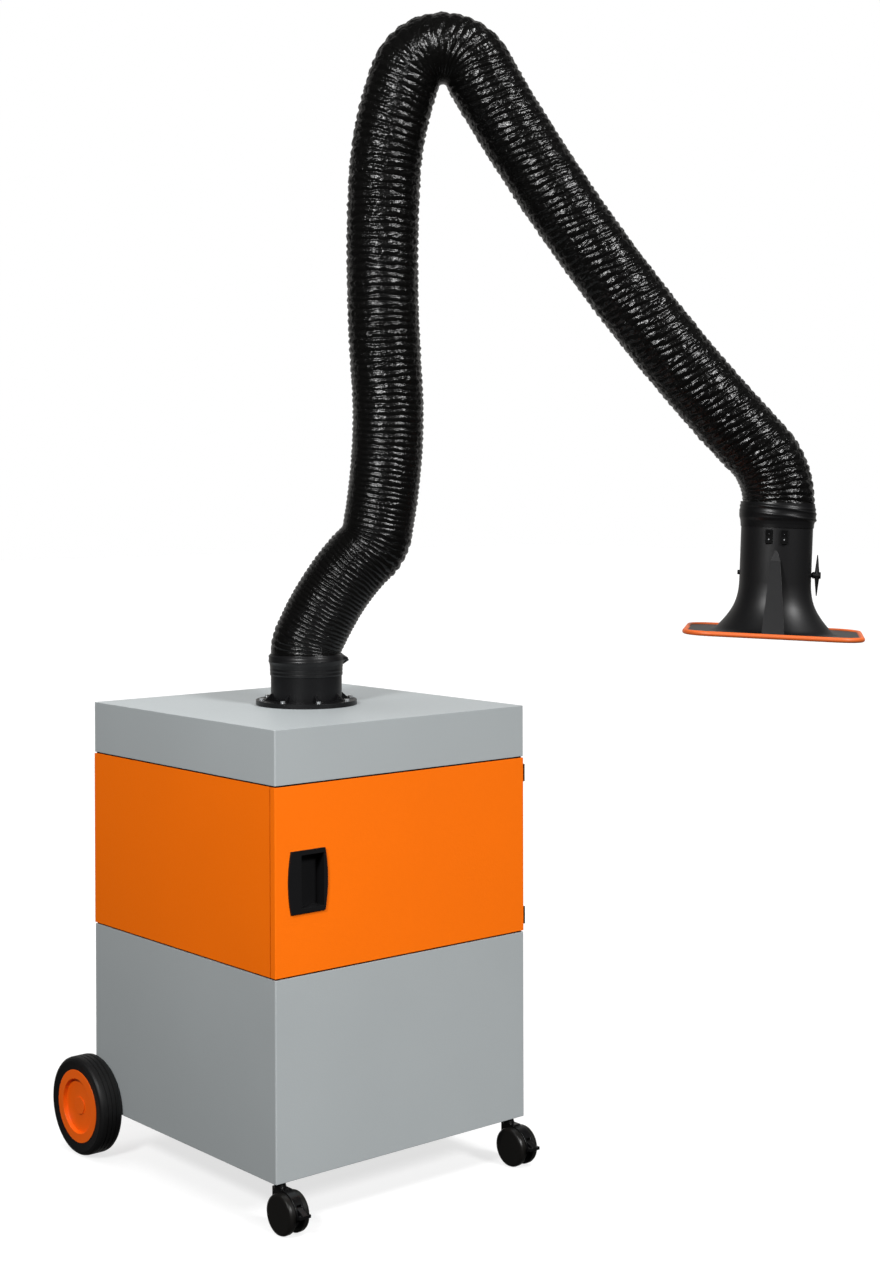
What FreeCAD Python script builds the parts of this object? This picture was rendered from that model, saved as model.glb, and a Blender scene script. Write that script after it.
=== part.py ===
import FreeCAD, Part
import math
import os
import re
import Sketcher

V = FreeCAD.Vector
doc = FreeCAD.newDocument("fume_extractor")
sheet = doc.addObject("Spreadsheet::Sheet", "sizes")

# Every settable size, in millimetres, and below them the levels worked out from them.
SIZES = {
    "cab_w": 655, "lower_h": 391, "middle_h": 373, "cover_h": 107, "wall": 2, "lower_lip": 35, "lip": 22,
    "seam_h": 3.5, "seam_d": 4, "edge_r": 3, "run_fit": 0.05, "side_gap": 0.3, "bolt_r": 4,
    "door_depth": 16, "door_gap": 1.5, "door_skin": 1.5, "door_lip": 15, "frame_lip": 25, "frame_set": 4,
    "seal_w": 12, "hinge_off": 6, "hinge_r": 5.5, "hinge_pin": 3, "hinge_h": 37, "hinge_inset": 13.5,
    "leaf_t": 2.5, "leaf_w": 15,
    "grip_in": 78.5, "grip_drop": 297.5, "grip_h": 122, "grip_end": 83, "grip_mid": 96, "grip_proud": 3,
    "grip_deep": 24,
    "wheel_r": 104, "wheel_w": 54, "wheel_gap": 2.5, "rim_r": 77, "axle_in": 11.5, "axle_drop": 7,
    "axle_r": 10, "cap_r": 18, "cap_t": 1.5, "dish": 10, "grooves": 3,
    "stem_in": 25.5, "stem_back": 21.5, "stem_r": 10, "stem_collar": 2, "castor_clear": 17, "castor_w": 48,
    "castor_trail": 25, "web_w": 20, "band_over": 2, "brake_in": 10, "brake_z": 16, "pedal_w": 26,
    "pedal_out": 16,
    "filter_side": 67.5, "filter_h": 300, "filter_wall": 8, "gasket_h": 12, "pleats": 18, "pleat_t": 3,
    "screen_h": 10,
    "inlet_r": 98, "inlet_lip": 150, "stand_h": 190, "stand_w": 320, "stand_t": 4, "motor_r": 88,
    "motor_h": 150, "shaft_r": 9.5, "scroll_r": 170, "scroll_step": 18, "scroll_h": 118, "scroll_t": 2,
    "tongue_x": 80, "wheel_fan_r": 150, "blade_h": 70, "blade_t": 2.5, "fan_plate": 3, "fan_lift": 10,
    "eye_r": 106, "hub_r": 24,
    "grille_over": 16, "grille_t": 2.5, "slats": 7, "gland_in": 127.5, "gland_z": 210, "gland_r": 12,
    "flange_r": 108, "flange_t": 10, "collar_r": 76, "collar_bore": 70, "collar_h": 62, "screw_circle": 98,
    "screw_n": 8, "gusset_h": 18, "gusset_r": 91, "gusset_t": 5, "gusset_turn": 22.5,
    "hose_r": 77.5, "hose_valley": 72, "hose_bore": 70, "hose_start": 92, "cuff_run": 13, "rib_run": 32,
    "rib_tight": 26, "tight_bend": 200, "spigot_wall": 3.7, "clip_w": 9, "clip_r": 78.5, "tail_r": 11,
    "tail_out": 15,
    "arm_turn": 39.21, "link_r": 8, "eye_half": 6, "disc_t": 2, "disc_r": 11, "fork_t": 5, "fork_r": 12,
    "elbow_eye": 16, "elbow_out": 26, "foot_u": 66, "foot_z": 152, "tip_u": 985, "tip_z": 505,
    "hood_drop": 26.3, "hood_tip": 2.2, "hood_yaw": 12, "neck_r": 75.5, "neck_wall": 3.5, "neck_h": 146,
    "flare_h": 77, "flare_w": 252, "flare_d": 220, "plate_t": 3, "rim_w": 365, "rim_d": 300, "rim_corner": 55,
    "trim_r": 5.3, "cuff_h": 26, "cuff_r": 76.5, "bead_r": 80, "cross_z": 35, "cross_r": 6,
    "nose_top": 46, "nose_step": 69, "nose_w": 47, "nose_reach": 146, "lens_r": 18, "lens_y": 112,
    "bezel_w": 14, "bezel_h": 29, "bezel_x": 16, "bezel_z": 18.5, "bezel_out": 78.5, "rocker_r": 11.8,
    "damper_z": 99, "damper_r": 70, "damper_t": 3, "spindle_r": 5, "knob_x": 80, "wing_l": 88, "wing_t": 7,
    "wing_mid": 13, "wing_tip": 3,
}
LEVELS = {
    "half": "cab_w / 2", "floor_gap": "wheel_r - axle_drop", "lower_top": "floor_gap + lower_h",
    "middle_top": "lower_top + middle_h", "cover_top": "middle_top + cover_h",
    "door_low": "lower_top + seam_h", "door_high": "middle_top - seam_h", "door_back": "-half + door_depth",
    "front_y": "door_back + door_gap", "flange_y": "front_y + frame_set", "floor_z": "floor_gap + wall",
    "hinge_x": "half + hinge_off", "hinge_y": "door_back + 0.5",
    "grip_x": "half - grip_in", "grip_z": "cover_top - grip_drop",
    "wheel_in": "half + wheel_gap", "axle_y": "half - axle_in",
    "stem_x": "half - stem_in", "stem_y": "half - stem_back", "castor_r": "(floor_gap - castor_clear) / 2",
    "castor_y": "-stem_y - castor_trail", "band_top": "2 * castor_r + band_over",
    "stem_foot": "band_top + stem_collar", "brake_y": "castor_r - brake_in",
    "pedal_reach": "castor_r + pedal_out",
    "filter_w": "cab_w - 2 * filter_side", "gasket_z": "lower_top + wall + gasket_h",
    "filter_z": "gasket_z + filter_h",
    "stand_z": "floor_z + stand_h", "scroll_top": "stand_z + scroll_h",
    "fan_z": "stand_z + scroll_t + fan_lift",
    "outlet_x": "scroll_step + scroll_r + 2 * scroll_step", "gland_x": "half - gland_in",
    "sleeve_bore": "collar_bore - run_fit - spigot_wall", "spigot_top": "hose_start + cuff_run - 1",
    "fork_in": "eye_half + disc_t + 2 * run_fit", "fork_out": "fork_in + fork_t",
}
NAMES = set()
PIECES = []


def fill_sheet():
    rows = [(name, str(size)) for name, size in SIZES.items()]
    rows += [(name, "=" + text) for name, text in LEVELS.items()]
    for k, (name, text) in enumerate(rows, 1):
        sheet.set("A%d" % k, name)
        sheet.set("B%d" % k, text)
        sheet.setAlias("B%d" % k, name)
        NAMES.add(name)
    doc.recompute()


def formula(text):
    return re.sub(r"[a-z_]+[a-z0-9_]*", lambda m: ("sizes." if m.group() in NAMES else "") + m.group(),
                  str(text))


def val(text):
    return float(sheet.evalExpression(formula(text)))


def piece(node, solid, count=1):
    solid.Label = node
    PIECES.append((node, solid, count))
    return solid


def box(name, x, y, z):
    solid = doc.addObject("Part::Box", name)
    for side, letter, (low, high) in zip(("Length", "Width", "Height"), "xyz", (x, y, z)):
        solid.setExpression(side, formula("(%s) - (%s)" % (high, low)))
        solid.setExpression("Placement.Base." + letter, formula(low))
    return solid


def rod(name, radius, start, length, axis="z"):
    turns = {"x": (V(0, 1, 0), 90), "y": (V(1, 0, 0), -90), "z": (V(0, 0, 1), 0)}
    solid = doc.addObject("Part::Cylinder", name)
    solid.Placement = FreeCAD.Placement(V(), FreeCAD.Rotation(*turns[axis]))
    solid.setExpression("Radius", formula(radius))
    solid.setExpression("Height", formula(length))
    for letter, low in zip("xyz", start):
        solid.setExpression("Placement.Base." + letter, formula(low))
    return solid


def fuse(name, *solids):
    joined = doc.addObject("Part::MultiFuse", name)
    joined.Shapes = list(solids)
    joined.Refine = True
    return joined


def cut(name, base, *tools):
    left = doc.addObject("Part::Cut", name)
    left.Base = base
    left.Tool = tools[0] if len(tools) == 1 else fuse(name + "_tools", *tools)
    return left


def rounded(name, base, radius, axis=2):
    doc.recompute()
    soft = doc.addObject("Part::Fillet", name)
    soft.Base = base
    along = [k for k, e in enumerate(base.Shape.Edges, 1)
             if abs(e.Vertexes[0].Point[axis] - e.Vertexes[-1].Point[axis]) > 0.99 * e.Length]
    soft.Edges = [(k, val(radius), val(radius)) for k in along]
    return soft


def polygon(body, name, points, plane="XZ_Plane"):
    sketch = body.newObject("Sketcher::SketchObject", name)
    sketch.AttachmentSupport = [([f for f in body.Origin.OriginFeatures if f.Role == plane][0], "")]
    sketch.MapMode = "FlatFace"
    spots = [(val(x), val(y)) for x, y in points]
    for start, end in zip(spots, spots[1:] + spots[:1]):
        sketch.addGeometry(Part.LineSegment(V(*start, 0), V(*end, 0)))
    for k in range(len(spots)):
        sketch.addConstraint(Sketcher.Constraint("Coincident", k, 2, (k + 1) % len(spots), 1))
    for k, point in enumerate(points):
        for kind, text, number in zip(("DistanceX", "DistanceY"), point, spots[k]):
            row = sketch.addConstraint(Sketcher.Constraint(kind, -1, 1, k, 1, number))
            sketch.renameConstraint(row, "%s_%d" % (kind[-1].lower(), k))
            sketch.setExpression("Constraints.%s_%d" % (kind[-1].lower(), k), formula(text))
    return sketch


def turned(name, points):
    body = doc.addObject("PartDesign::Body", name)
    spin = body.newObject("PartDesign::Revolution", name + "_turn")
    spin.Profile = polygon(body, name + "_outline", points)
    spin.ReferenceAxis = (spin.Profile[0], ["V_Axis"])
    spin.Angle = 360
    body.Tip = spin
    return body


def padded(name, points, length, plane="XZ_Plane"):
    body = doc.addObject("PartDesign::Body", name)
    pad = body.newObject("PartDesign::Pad", name + "_pad")
    pad.Profile = polygon(body, name + "_outline", points, plane)
    pad.setExpression("Length", formula(length))
    body.Tip = pad
    return body


def shaped(name, shape, place=None):
    solid = doc.addObject("Part::Feature", name)
    solid.Shape = shape
    if place:
        solid.Placement = place
    return solid


def group(name, source, places):
    doc.recompute()
    copies = []
    for place in places:
        copy = source.Shape.copy()
        copy.Placement = place.multiply(copy.Placement)
        copies.append(copy)
    return shaped(name, Part.makeCompound(copies))


def spun(angle, base=V()):
    return FreeCAD.Placement(base, FreeCAD.Rotation(V(0, 0, 1), angle))


def screw_spots():
    return [val("gusset_turn") + 360.0 / val("screw_n") * k for k in range(int(val("screw_n")))]


def lower_housing():
    shell = rounded("lower_skin", box("lower_block", ("-half", "half"), ("-half", "half"),
                                      ("floor_gap", "lower_top")), "edge_r")
    sockets = [rod("socket_%d" % s, "stem_r + 6", ("%d * stem_x" % s, "-stem_y", "floor_gap"), "24")
               for s in (-1, 1)]
    bosses = [rod("boss_%d" % s, "axle_r + 12", ("%d * (half - 13) - 6" % s, "axle_y", "wheel_r"), "12", "x")
              for s in (-1, 1)]
    hollow = box("lower_hollow", ("-half + wall", "half - wall"), ("-half + wall", "half - wall"),
                 ("floor_z", "lower_top - wall"))
    mouth = box("lower_mouth", ("-half + lower_lip", "half - lower_lip"),
                ("-half + lower_lip", "half - lower_lip"), ("lower_top - wall - 1", "lower_top + 1"))
    window = box("lower_window", ("tongue_x", "outlet_x"), ("half - wall - 1", "half + 1"),
                 ("stand_z + scroll_t", "scroll_top - scroll_t"))
    gland = rod("gland_hole", "gland_r - 4 + run_fit", ("-gland_x", "half - wall - 1", "gland_z"),
                "wall + 2", "y")
    stems = [rod("stem_hole_%d" % s, "stem_r + run_fit",
                 ("%d * stem_x" % s, "-stem_y", "floor_gap - 1"), "40")
             for s in (-1, 1)]
    axle = rod("axle_hole", "axle_r + run_fit", ("-half - 1", "axle_y", "wheel_r"), "cab_w + 2", "x")
    case = cut("lower_case", shell, hollow, mouth, window, gland)
    trim = box("socket_limits", ("-half + wall / 2", "half - wall / 2"),
               ("-half + wall / 2", "half - wall / 2"),
               ("floor_gap", "lower_top"))
    inside = doc.addObject("Part::Common", "lower_supports")
    inside.Base = fuse("lower_bosses", *sockets, *bosses)
    inside.Tool = trim
    piece("lower_housing", cut("lower_housing", fuse("lower_body", case, inside), axle, *stems))


def middle_housing():
    skin = box("middle_skin", ("-half", "half"), ("front_y", "half"), ("door_low", "door_high"))
    rings = [box("plinth_" + name, ("-half + seam_d", "half - seam_d"), ("-half + seam_d", "half - seam_d"),
                 z)
             for name, z in (("low", ("lower_top", "door_low")), ("high", ("door_high", "middle_top")))]
    within = ("-half + wall", "half - wall")
    tall = ("door_low + wall", "door_high - wall")
    recess = box("middle_recess", within, ("front_y - 1", "flange_y"), tall)
    chamber = box("middle_chamber", within, ("flange_y + wall", "half - wall"), tall)
    way = ("-half + wall + frame_lip", "half - wall - frame_lip")
    opening = box("middle_opening", way, ("flange_y - 1", "flange_y + wall + 1"),
                  ("door_low + wall + frame_lip", "door_high - wall - frame_lip"))
    plan = ("-half + lip", "half - lip")
    mouths = [box("middle_mouth_" + name, plan, plan, z)
              for name, z in (("low", ("lower_top - 1", "door_low + wall + 0.5")),
                              ("high", ("door_high - wall - 0.5", "middle_top + 1")))]
    body = fuse("middle_body", skin, *rings)
    piece("middle_housing", cut("middle_housing", body, recess, chamber, opening, *mouths))


def top_cover():
    skin = rounded("cover_skin", box("cover_block", ("-half", "half"), ("-half", "half"),
                                     ("middle_top", "cover_top")), "edge_r")
    hollow = box("cover_hollow", ("-half + wall", "half - wall"), ("-half + wall", "half - wall"),
                 ("middle_top + wall", "cover_top - wall"))
    mouth = box("cover_mouth", ("-half + lip", "half - lip"), ("-half + lip", "half - lip"),
                ("middle_top - 1", "middle_top + wall + 1"))
    inlet = rod("cover_inlet", "collar_bore", ("0", "0", "cover_top - wall - 1"), "wall + 2")
    holes = [rod("cover_hole_%d" % k, "bolt_r + run_fit", ("screw_circle * cos(%g deg)" % a,
             "screw_circle * sin(%g deg)" % a, "cover_top - wall - 1"), "wall + 2")
             for k, a in enumerate(screw_spots())]
    piece("top_cover", cut("top_cover", skin, hollow, mouth, inlet, *holes))


def filter_stack():
    plan = ("-half + lip + side_gap", "half - lip - side_gap")
    plate = box("partition_block", plan, plan, ("lower_top", "lower_top + wall"))
    hole = rod("partition_hole", "inlet_lip - 25", ("0", "0", "lower_top - 1"), "wall + 2")
    piece("partition_plate", cut("partition_plate", plate, hole))
    outer = ("-filter_w / 2", "filter_w / 2")
    inner = ("-filter_w / 2 + filter_wall", "filter_w / 2 - filter_wall")
    ring = ("-filter_w / 2 + 20", "filter_w / 2 - 20")
    seat = box("gasket_block", outer, outer, ("lower_top + wall", "gasket_z"))
    gap = box("gasket_gap", ring, ring, ("lower_top + wall - 1", "gasket_z + 1"))
    piece("filter_gasket", cut("filter_gasket", seat, gap))
    case = box("filter_block", outer, outer, ("gasket_z", "filter_z"))
    hollow = box("filter_hollow", inner, inner, ("gasket_z - 1", "filter_z + 1"))
    piece("filter_frame", cut("filter_frame", case, hollow))
    tray = box("screen_block", outer, outer, ("filter_z", "filter_z + screen_h"))
    cells = 5
    windows = []
    for i in range(cells * cells):
        spans = [("-filter_w / 2 + 12 + %d * (filter_w - 16) / %d" % (k, cells),
                  "-filter_w / 2 + 4 + %d * (filter_w - 16) / %d" % (k + 1, cells)) for k in divmod(i, cells)]
        windows.append(box("screen_cell_%d" % i, spans[0], spans[1],
                           ("filter_z - 1", "filter_z + screen_h + 1")))
    piece("spark_screen", cut("spark_screen", tray, *windows))


def filter_pleats():
    folds = int(val("pleats")) * 2
    span = "(filter_w - 2 * filter_wall - 2 * side_gap)"
    low, high = "gasket_z + 4", "filter_z - 4"
    step = "%s / %d" % (span, folds)
    under = [("-%s / 2 + %d * %s" % (span, k, step), (low, high + " - 4 * pleat_t")[k % 2])
             for k in range(folds + 1)]
    over = [(x, y + " + 4 * pleat_t") for x, y in reversed(under)]
    body = padded("filter_pleats", under + over, span)
    body.setExpression("Placement.Base.y", formula(span + " / 2"))
    piece("filter_pleats", body)


def door():
    plan, tall = ("-half", "half"), ("door_low", "door_high")
    pan = rounded("door_skin", box("door_block", plan, ("-half", "door_back"), tall), "door_skin")
    hollow = box("door_hollow", ("-half + door_skin", "half - door_skin"),
                 ("-half + door_skin", "door_back - door_skin"),
                 ("door_low + door_skin", "door_high - door_skin"))
    rear = box("door_rear", ("-half + door_lip", "half - door_lip"),
               ("door_back - door_skin - 1", "door_back + 1"),
               ("door_low + door_lip", "door_high - door_lip"))
    hole = box("grip_hole", ("-grip_x - 35", "-grip_x + 42"), ("-half - 1", "-half + door_skin + 1"),
               ("grip_z - 55", "grip_z + 55"))
    piece("door_panel", cut("door_panel", pan, hollow, rear, hole))
    edge, inset = "(wall + 0.5)", "(wall + 0.5 + seal_w)"
    deep = ("door_back", "flange_y - side_gap")
    strip = box("seal_block", ("-half + " + edge, "half - " + edge), deep,
                ("door_low + " + edge, "door_high - " + edge))
    gap = box("seal_gap", ("-half + " + inset, "half - " + inset), ("door_back - 1", "flange_y + 1"),
              ("door_low + " + inset, "door_high - " + inset))
    piece("door_seal", cut("door_seal", strip, gap))


def door_grip():
    x, z, rise = -val("grip_x"), val("grip_z"), val("grip_h") / 2
    end, middle = val("grip_end") / 2, val("grip_mid") / 2
    face = -val("half") - val("grip_proud")
    corner = [V(x + sx * end, face, z + sz * rise) for sx, sz in ((-1, -1), (-1, 1), (1, 1), (1, -1))]
    left = Part.Arc(corner[0], V(x - middle, face, z), corner[1]).toShape()
    right = Part.Arc(corner[2], V(x + middle, face, z), corner[3]).toShape()
    outline = Part.Wire([left, Part.makeLine(corner[1], corner[2]), right,
                         Part.makeLine(corner[3], corner[0])])
    plate = shaped("grip_plate", Part.Face(outline).extrude(V(0, val("grip_proud"), 0)))
    cup = box("grip_cup", ("-grip_x - 34", "-grip_x + 41"), ("-half", "-half + grip_deep"),
              ("grip_z - 54.5", "grip_z + 54.5"))
    pocket = box("grip_pocket", ("-grip_x - 31", "-grip_x + 38"), ("-half", "-half + grip_deep - 3"),
                 ("grip_z - 51.5", "grip_z + 51.5"))
    entry = box("grip_entry", ("-grip_x - 17", "-grip_x + 38"), ("-half - grip_proud - 1", "-half + 1"),
                ("grip_z - 51.5", "grip_z + 51.5"))
    piece("door_grip", cut("door_grip", fuse("grip_body", plate, cup), pocket, entry))


def hinges():
    feet = {"low": "door_low + hinge_inset", "high": "door_high - hinge_inset - hinge_h"}
    frame, hung = [], []
    for name, foot in feet.items():
        mid = "%s + hinge_h / 2" % foot
        axis = ("hinge_x", "hinge_y", foot)
        barrel = rod("frame_barrel_" + name, "hinge_r", axis, "hinge_h / 2 - side_gap")
        pin = rod("frame_pin_" + name, "hinge_pin", axis, "hinge_h - 2")
        leaf = box("frame_leaf_" + name, ("half", "half + leaf_t"), ("hinge_y + 2", "hinge_y + 2 + leaf_w"),
                   (foot, mid + " - side_gap"))
        frame.append(fuse("frame_hinge_" + name, barrel, pin, leaf))
        upper = rod("door_barrel_" + name, "hinge_r", ("hinge_x", "hinge_y", mid), "hinge_h / 2")
        plate = box("door_leaf_" + name, ("half", "half + leaf_t"),
                    ("hinge_y - 2 - leaf_w + 1", "hinge_y - 2"),
                    (mid, foot + " + hinge_h"))
        bore = rod("door_bore_" + name, "hinge_pin + run_fit", ("hinge_x", "hinge_y", foot), "hinge_h - 1.5")
        hung.append(cut("door_hinge_" + name, fuse("door_leaves_" + name, upper, plate), bore))
    for node, solids in (("hinge_frame_leaves", frame), ("hinge_door_leaves", hung)):
        both = doc.addObject("Part::Compound", node)
        both.Links = solids
        piece(node, both, 2)


def fan_drive():
    legs = box("stand_block", ("-stand_w / 2", "stand_w / 2"), ("-stand_w / 2 + 20", "stand_w / 2 - 20"),
               ("floor_z", "stand_z"))
    under = box("stand_under", ("-stand_w / 2 + stand_t", "stand_w / 2 - stand_t"), ("-stand_w", "stand_w"),
                ("floor_z - 1", "stand_z - stand_t"))
    hole = rod("stand_hole", "shaft_r + 4", ("0", "0", "stand_z - stand_t - 1"), "stand_t + 2")
    piece("fan_stand", cut("fan_stand", legs, under, hole))
    top = "stand_z - stand_t"
    outline = [("shaft_r + run_fit", top), ("motor_r + 12", top), ("motor_r + 12", top + " - 8")]
    for k in range(5):
        z = "%s - 12 - %d * motor_h / 6" % (top, k)
        outline += [("motor_r - 8", z), ("motor_r - 8", z + " - 10"), ("motor_r", z + " - 10"),
                    ("motor_r", z + " - 16")]
    outline += [("motor_r - 12", top + " - motor_h"), ("shaft_r + run_fit", top + " - motor_h")]
    piece("fan_motor", turned("fan_motor", outline))
    foot = top + " - motor_h + 6"
    piece("motor_shaft", rod("motor_shaft", "shaft_r", ("0", "0", foot), "fan_z + 52 - (%s)" % foot))


def scroll_outline(grow, low, back):
    radius, step, corner = val("scroll_r"), val("scroll_step"), val("tongue_x")
    arcs = [((0, 0), radius + grow, 90), ((step, 0), radius + step + grow, 180),
            ((step, step), radius + 2 * step + grow, 270)]
    edges = []
    for (cx, cy), r, angle in arcs:
        spots = [V(cx + r * math.cos(math.radians(a)), cy + r * math.sin(math.radians(a)), low)
                 for a in (angle, angle + 45, angle + 90)]
        edges.append(Part.Arc(*spots).toShape())
    last, first = edges[-1].Vertexes[-1].Point, edges[0].Vertexes[0].Point
    bends = [last, V(last.x, back, low), V(corner - grow, back, low), V(corner - grow, first.y, low), first]
    edges += [Part.makeLine(a, b) for a, b in zip(bends, bends[1:])]
    return Part.Face(Part.Wire(edges))


def fan_scroll():
    low, high, wall = val("stand_z"), val("scroll_top"), val("scroll_t")
    back = val("half - wall - side_gap")
    outer = scroll_outline(wall, low, back).extrude(V(0, 0, high - low))
    inner = scroll_outline(0, low + wall, back + 5).extrude(V(0, 0, high - low - 2 * wall))
    eye = Part.makeCylinder(val("eye_r") + 8, 3 * wall, V(0, 0, high - 2 * wall))
    hub = Part.makeCylinder(val("shaft_r") + 10, 3 * wall, V(0, 0, low - wall))
    piece("fan_scroll", shaped("fan_scroll", outer.cut([inner, eye, hub])))
    shell = [("inlet_lip", "lower_top"), ("inlet_lip", "lower_top - wall"),
             ("inlet_r + 24", "lower_top - wall"),
             ("inlet_r + 8", "lower_top - 24"), ("inlet_r + 2", "lower_top - 60"),
             ("inlet_r", "fan_z + fan_plate + blade_h + 2"),
             ("inlet_r - wall", "fan_z + fan_plate + blade_h + 2"),
             ("inlet_r - wall + 2", "lower_top - 60"), ("inlet_r - wall + 8", "lower_top - 24"),
             ("inlet_r - wall + 22", "lower_top")]
    piece("inlet_cone", turned("inlet_cone", shell))


def impeller():
    base, plate, rise = val("fan_z"), val("fan_plate"), val("blade_h")
    out, eye, thick = val("wheel_fan_r"), val("eye_r"), val("blade_t")
    disc = Part.makeCylinder(out, plate, V(0, 0, base))
    shroud = Part.makeCylinder(out, plate, V(0, 0, base + plate + rise))
    shroud = shroud.cut(Part.makeCylinder(eye, plate, V(0, 0, base + plate + rise)))
    tall = rise / 1.5
    hub = Part.makeCylinder(val("hub_r"), tall, V(0, 0, base))
    curve = [V(r * math.cos(a), r * math.sin(a), base + plate - 1)
             for r, a in ((eye - 4, 0.0), ((eye + out) / 2 - 2, -0.22), (out - 2, -0.52))]
    aside = [spot + V(0.3, 1, 0) * thick for spot in curve]
    sides = [Part.Arc(*curve).toShape(), Part.makeLine(curve[2], aside[2]), Part.Arc(*aside).toShape(),
             Part.makeLine(aside[0], curve[0])]
    blade = Part.Face(Part.Wire(Part.__sortEdges__(sides))).extrude(V(0, 0, rise + 2))
    blades = []
    for k in range(9):
        turn = blade.copy()
        turn.rotate(V(), V(0, 0, 1), 40 * k)
        blades.append(turn)
    bore = Part.makeCylinder(val("shaft_r + run_fit"), tall, V(0, 0, base))
    piece("impeller", shaped("impeller", disc.fuse([shroud, hub] + blades).cut(bore)))


def back_fittings():
    x = ("tongue_x - grille_over", "outlet_x + grille_over")
    z = ("stand_z - grille_over", "scroll_top + grille_over")
    plate = box("grille_block", x, ("half", "half + grille_t"), z)
    count = int(val("slats"))
    slots = []
    for k in range(count):
        low = "stand_z + 4 + %d * (scroll_h - 8) / %d" % (k, count)
        slots.append(box("grille_slot_%d" % k, ("tongue_x + 4", "outlet_x - 4"),
                         ("half - 1", "half + grille_t + 1"),
                         (low, low + " + 9")))
    piece("exhaust_grille", cut("exhaust_grille", plate, *slots))
    core = "gland_r - 7"
    shell = [(core, "half - 12"), ("gland_r - 4", "half - 12"), ("gland_r - 4", "half"), ("gland_r", "half"),
             ("gland_r", "half + 8"), ("gland_r - 2", "half + 10"), ("gland_r - 3", "half + 20"),
             (core, "half + 22")]
    gland = turned("cord_gland", shell)
    gland.Placement = FreeCAD.Placement(V(), FreeCAD.Rotation(V(1, 0, 0), -90))
    gland.setExpression("Placement.Base.x", formula("-gland_x"))
    gland.setExpression("Placement.Base.z", formula("gland_z"))
    piece("cord_gland", gland)


def rear_wheels():
    length = "wheel_in + wheel_w - dish"
    piece("rear_axle", rod("rear_axle", "axle_r", ("-(%s)" % length, "axle_y", "wheel_r"),
                           "2 * (%s)" % length, "x"))
    cap = rod("axle_cap", "cap_r", (length, "axle_y", "wheel_r"), "cap_t", "x")
    cap_left = rod("axle_cap_left", "cap_r", ("-(%s) - cap_t" % length, "axle_y", "wheel_r"), "cap_t", "x")
    caps = doc.addObject("Part::Compound", "axle_caps")
    caps.Links = [cap, cap_left]
    piece("axle_caps", caps, 2)
    bore = "axle_r + run_fit"
    out = "wheel_w"
    face = out + " - dish - side_gap"
    rim = [(bore, "0"), ("axle_r + 14", "0"), ("axle_r + 18", "26"), ("rim_r - 20", "26"),
           ("rim_r - 14", "2"),
           ("rim_r", "2"), ("rim_r", out + " - 2"), ("rim_r - 19", out + " - 2"), ("rim_r - 20.5", face),
           (bore, face)]
    tyre = [("rim_r", "3"), ("wheel_r - 9", "0"), ("wheel_r - 4", "2"), ("wheel_r - 1", "6"),
            ("wheel_r", "11")]
    for k in range(int(val("grooves"))):
        middle = "wheel_w / 2 + %d * 10" % (k - 1)
        tyre += [("wheel_r", middle + " - 1.2"), ("wheel_r - 1.5", middle + " - 0.7"),
                 ("wheel_r - 1.5", middle + " + 0.7"), ("wheel_r", middle + " + 1.2")]
    tyre += [("wheel_r", out + " - 11"), ("wheel_r - 1", out + " - 6"), ("wheel_r - 4", out + " - 2"),
             ("wheel_r - 9", out), ("rim_r", out + " - 3")]
    for name, side in (("left", -1), ("right", 1)):
        for node, outline in (("rear_rim_", rim), ("rear_tyre_", tyre)):
            body = turned(node + name, outline)
            body.Placement = FreeCAD.Placement(V(), FreeCAD.Rotation(V(0, 1, 0), 90 * side))
            body.setExpression("Placement.Base.x", formula("%d * wheel_in" % side))
            body.setExpression("Placement.Base.y", formula("axle_y"))
            body.setExpression("Placement.Base.z", formula("wheel_r"))
            piece(node + name, body)


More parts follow.
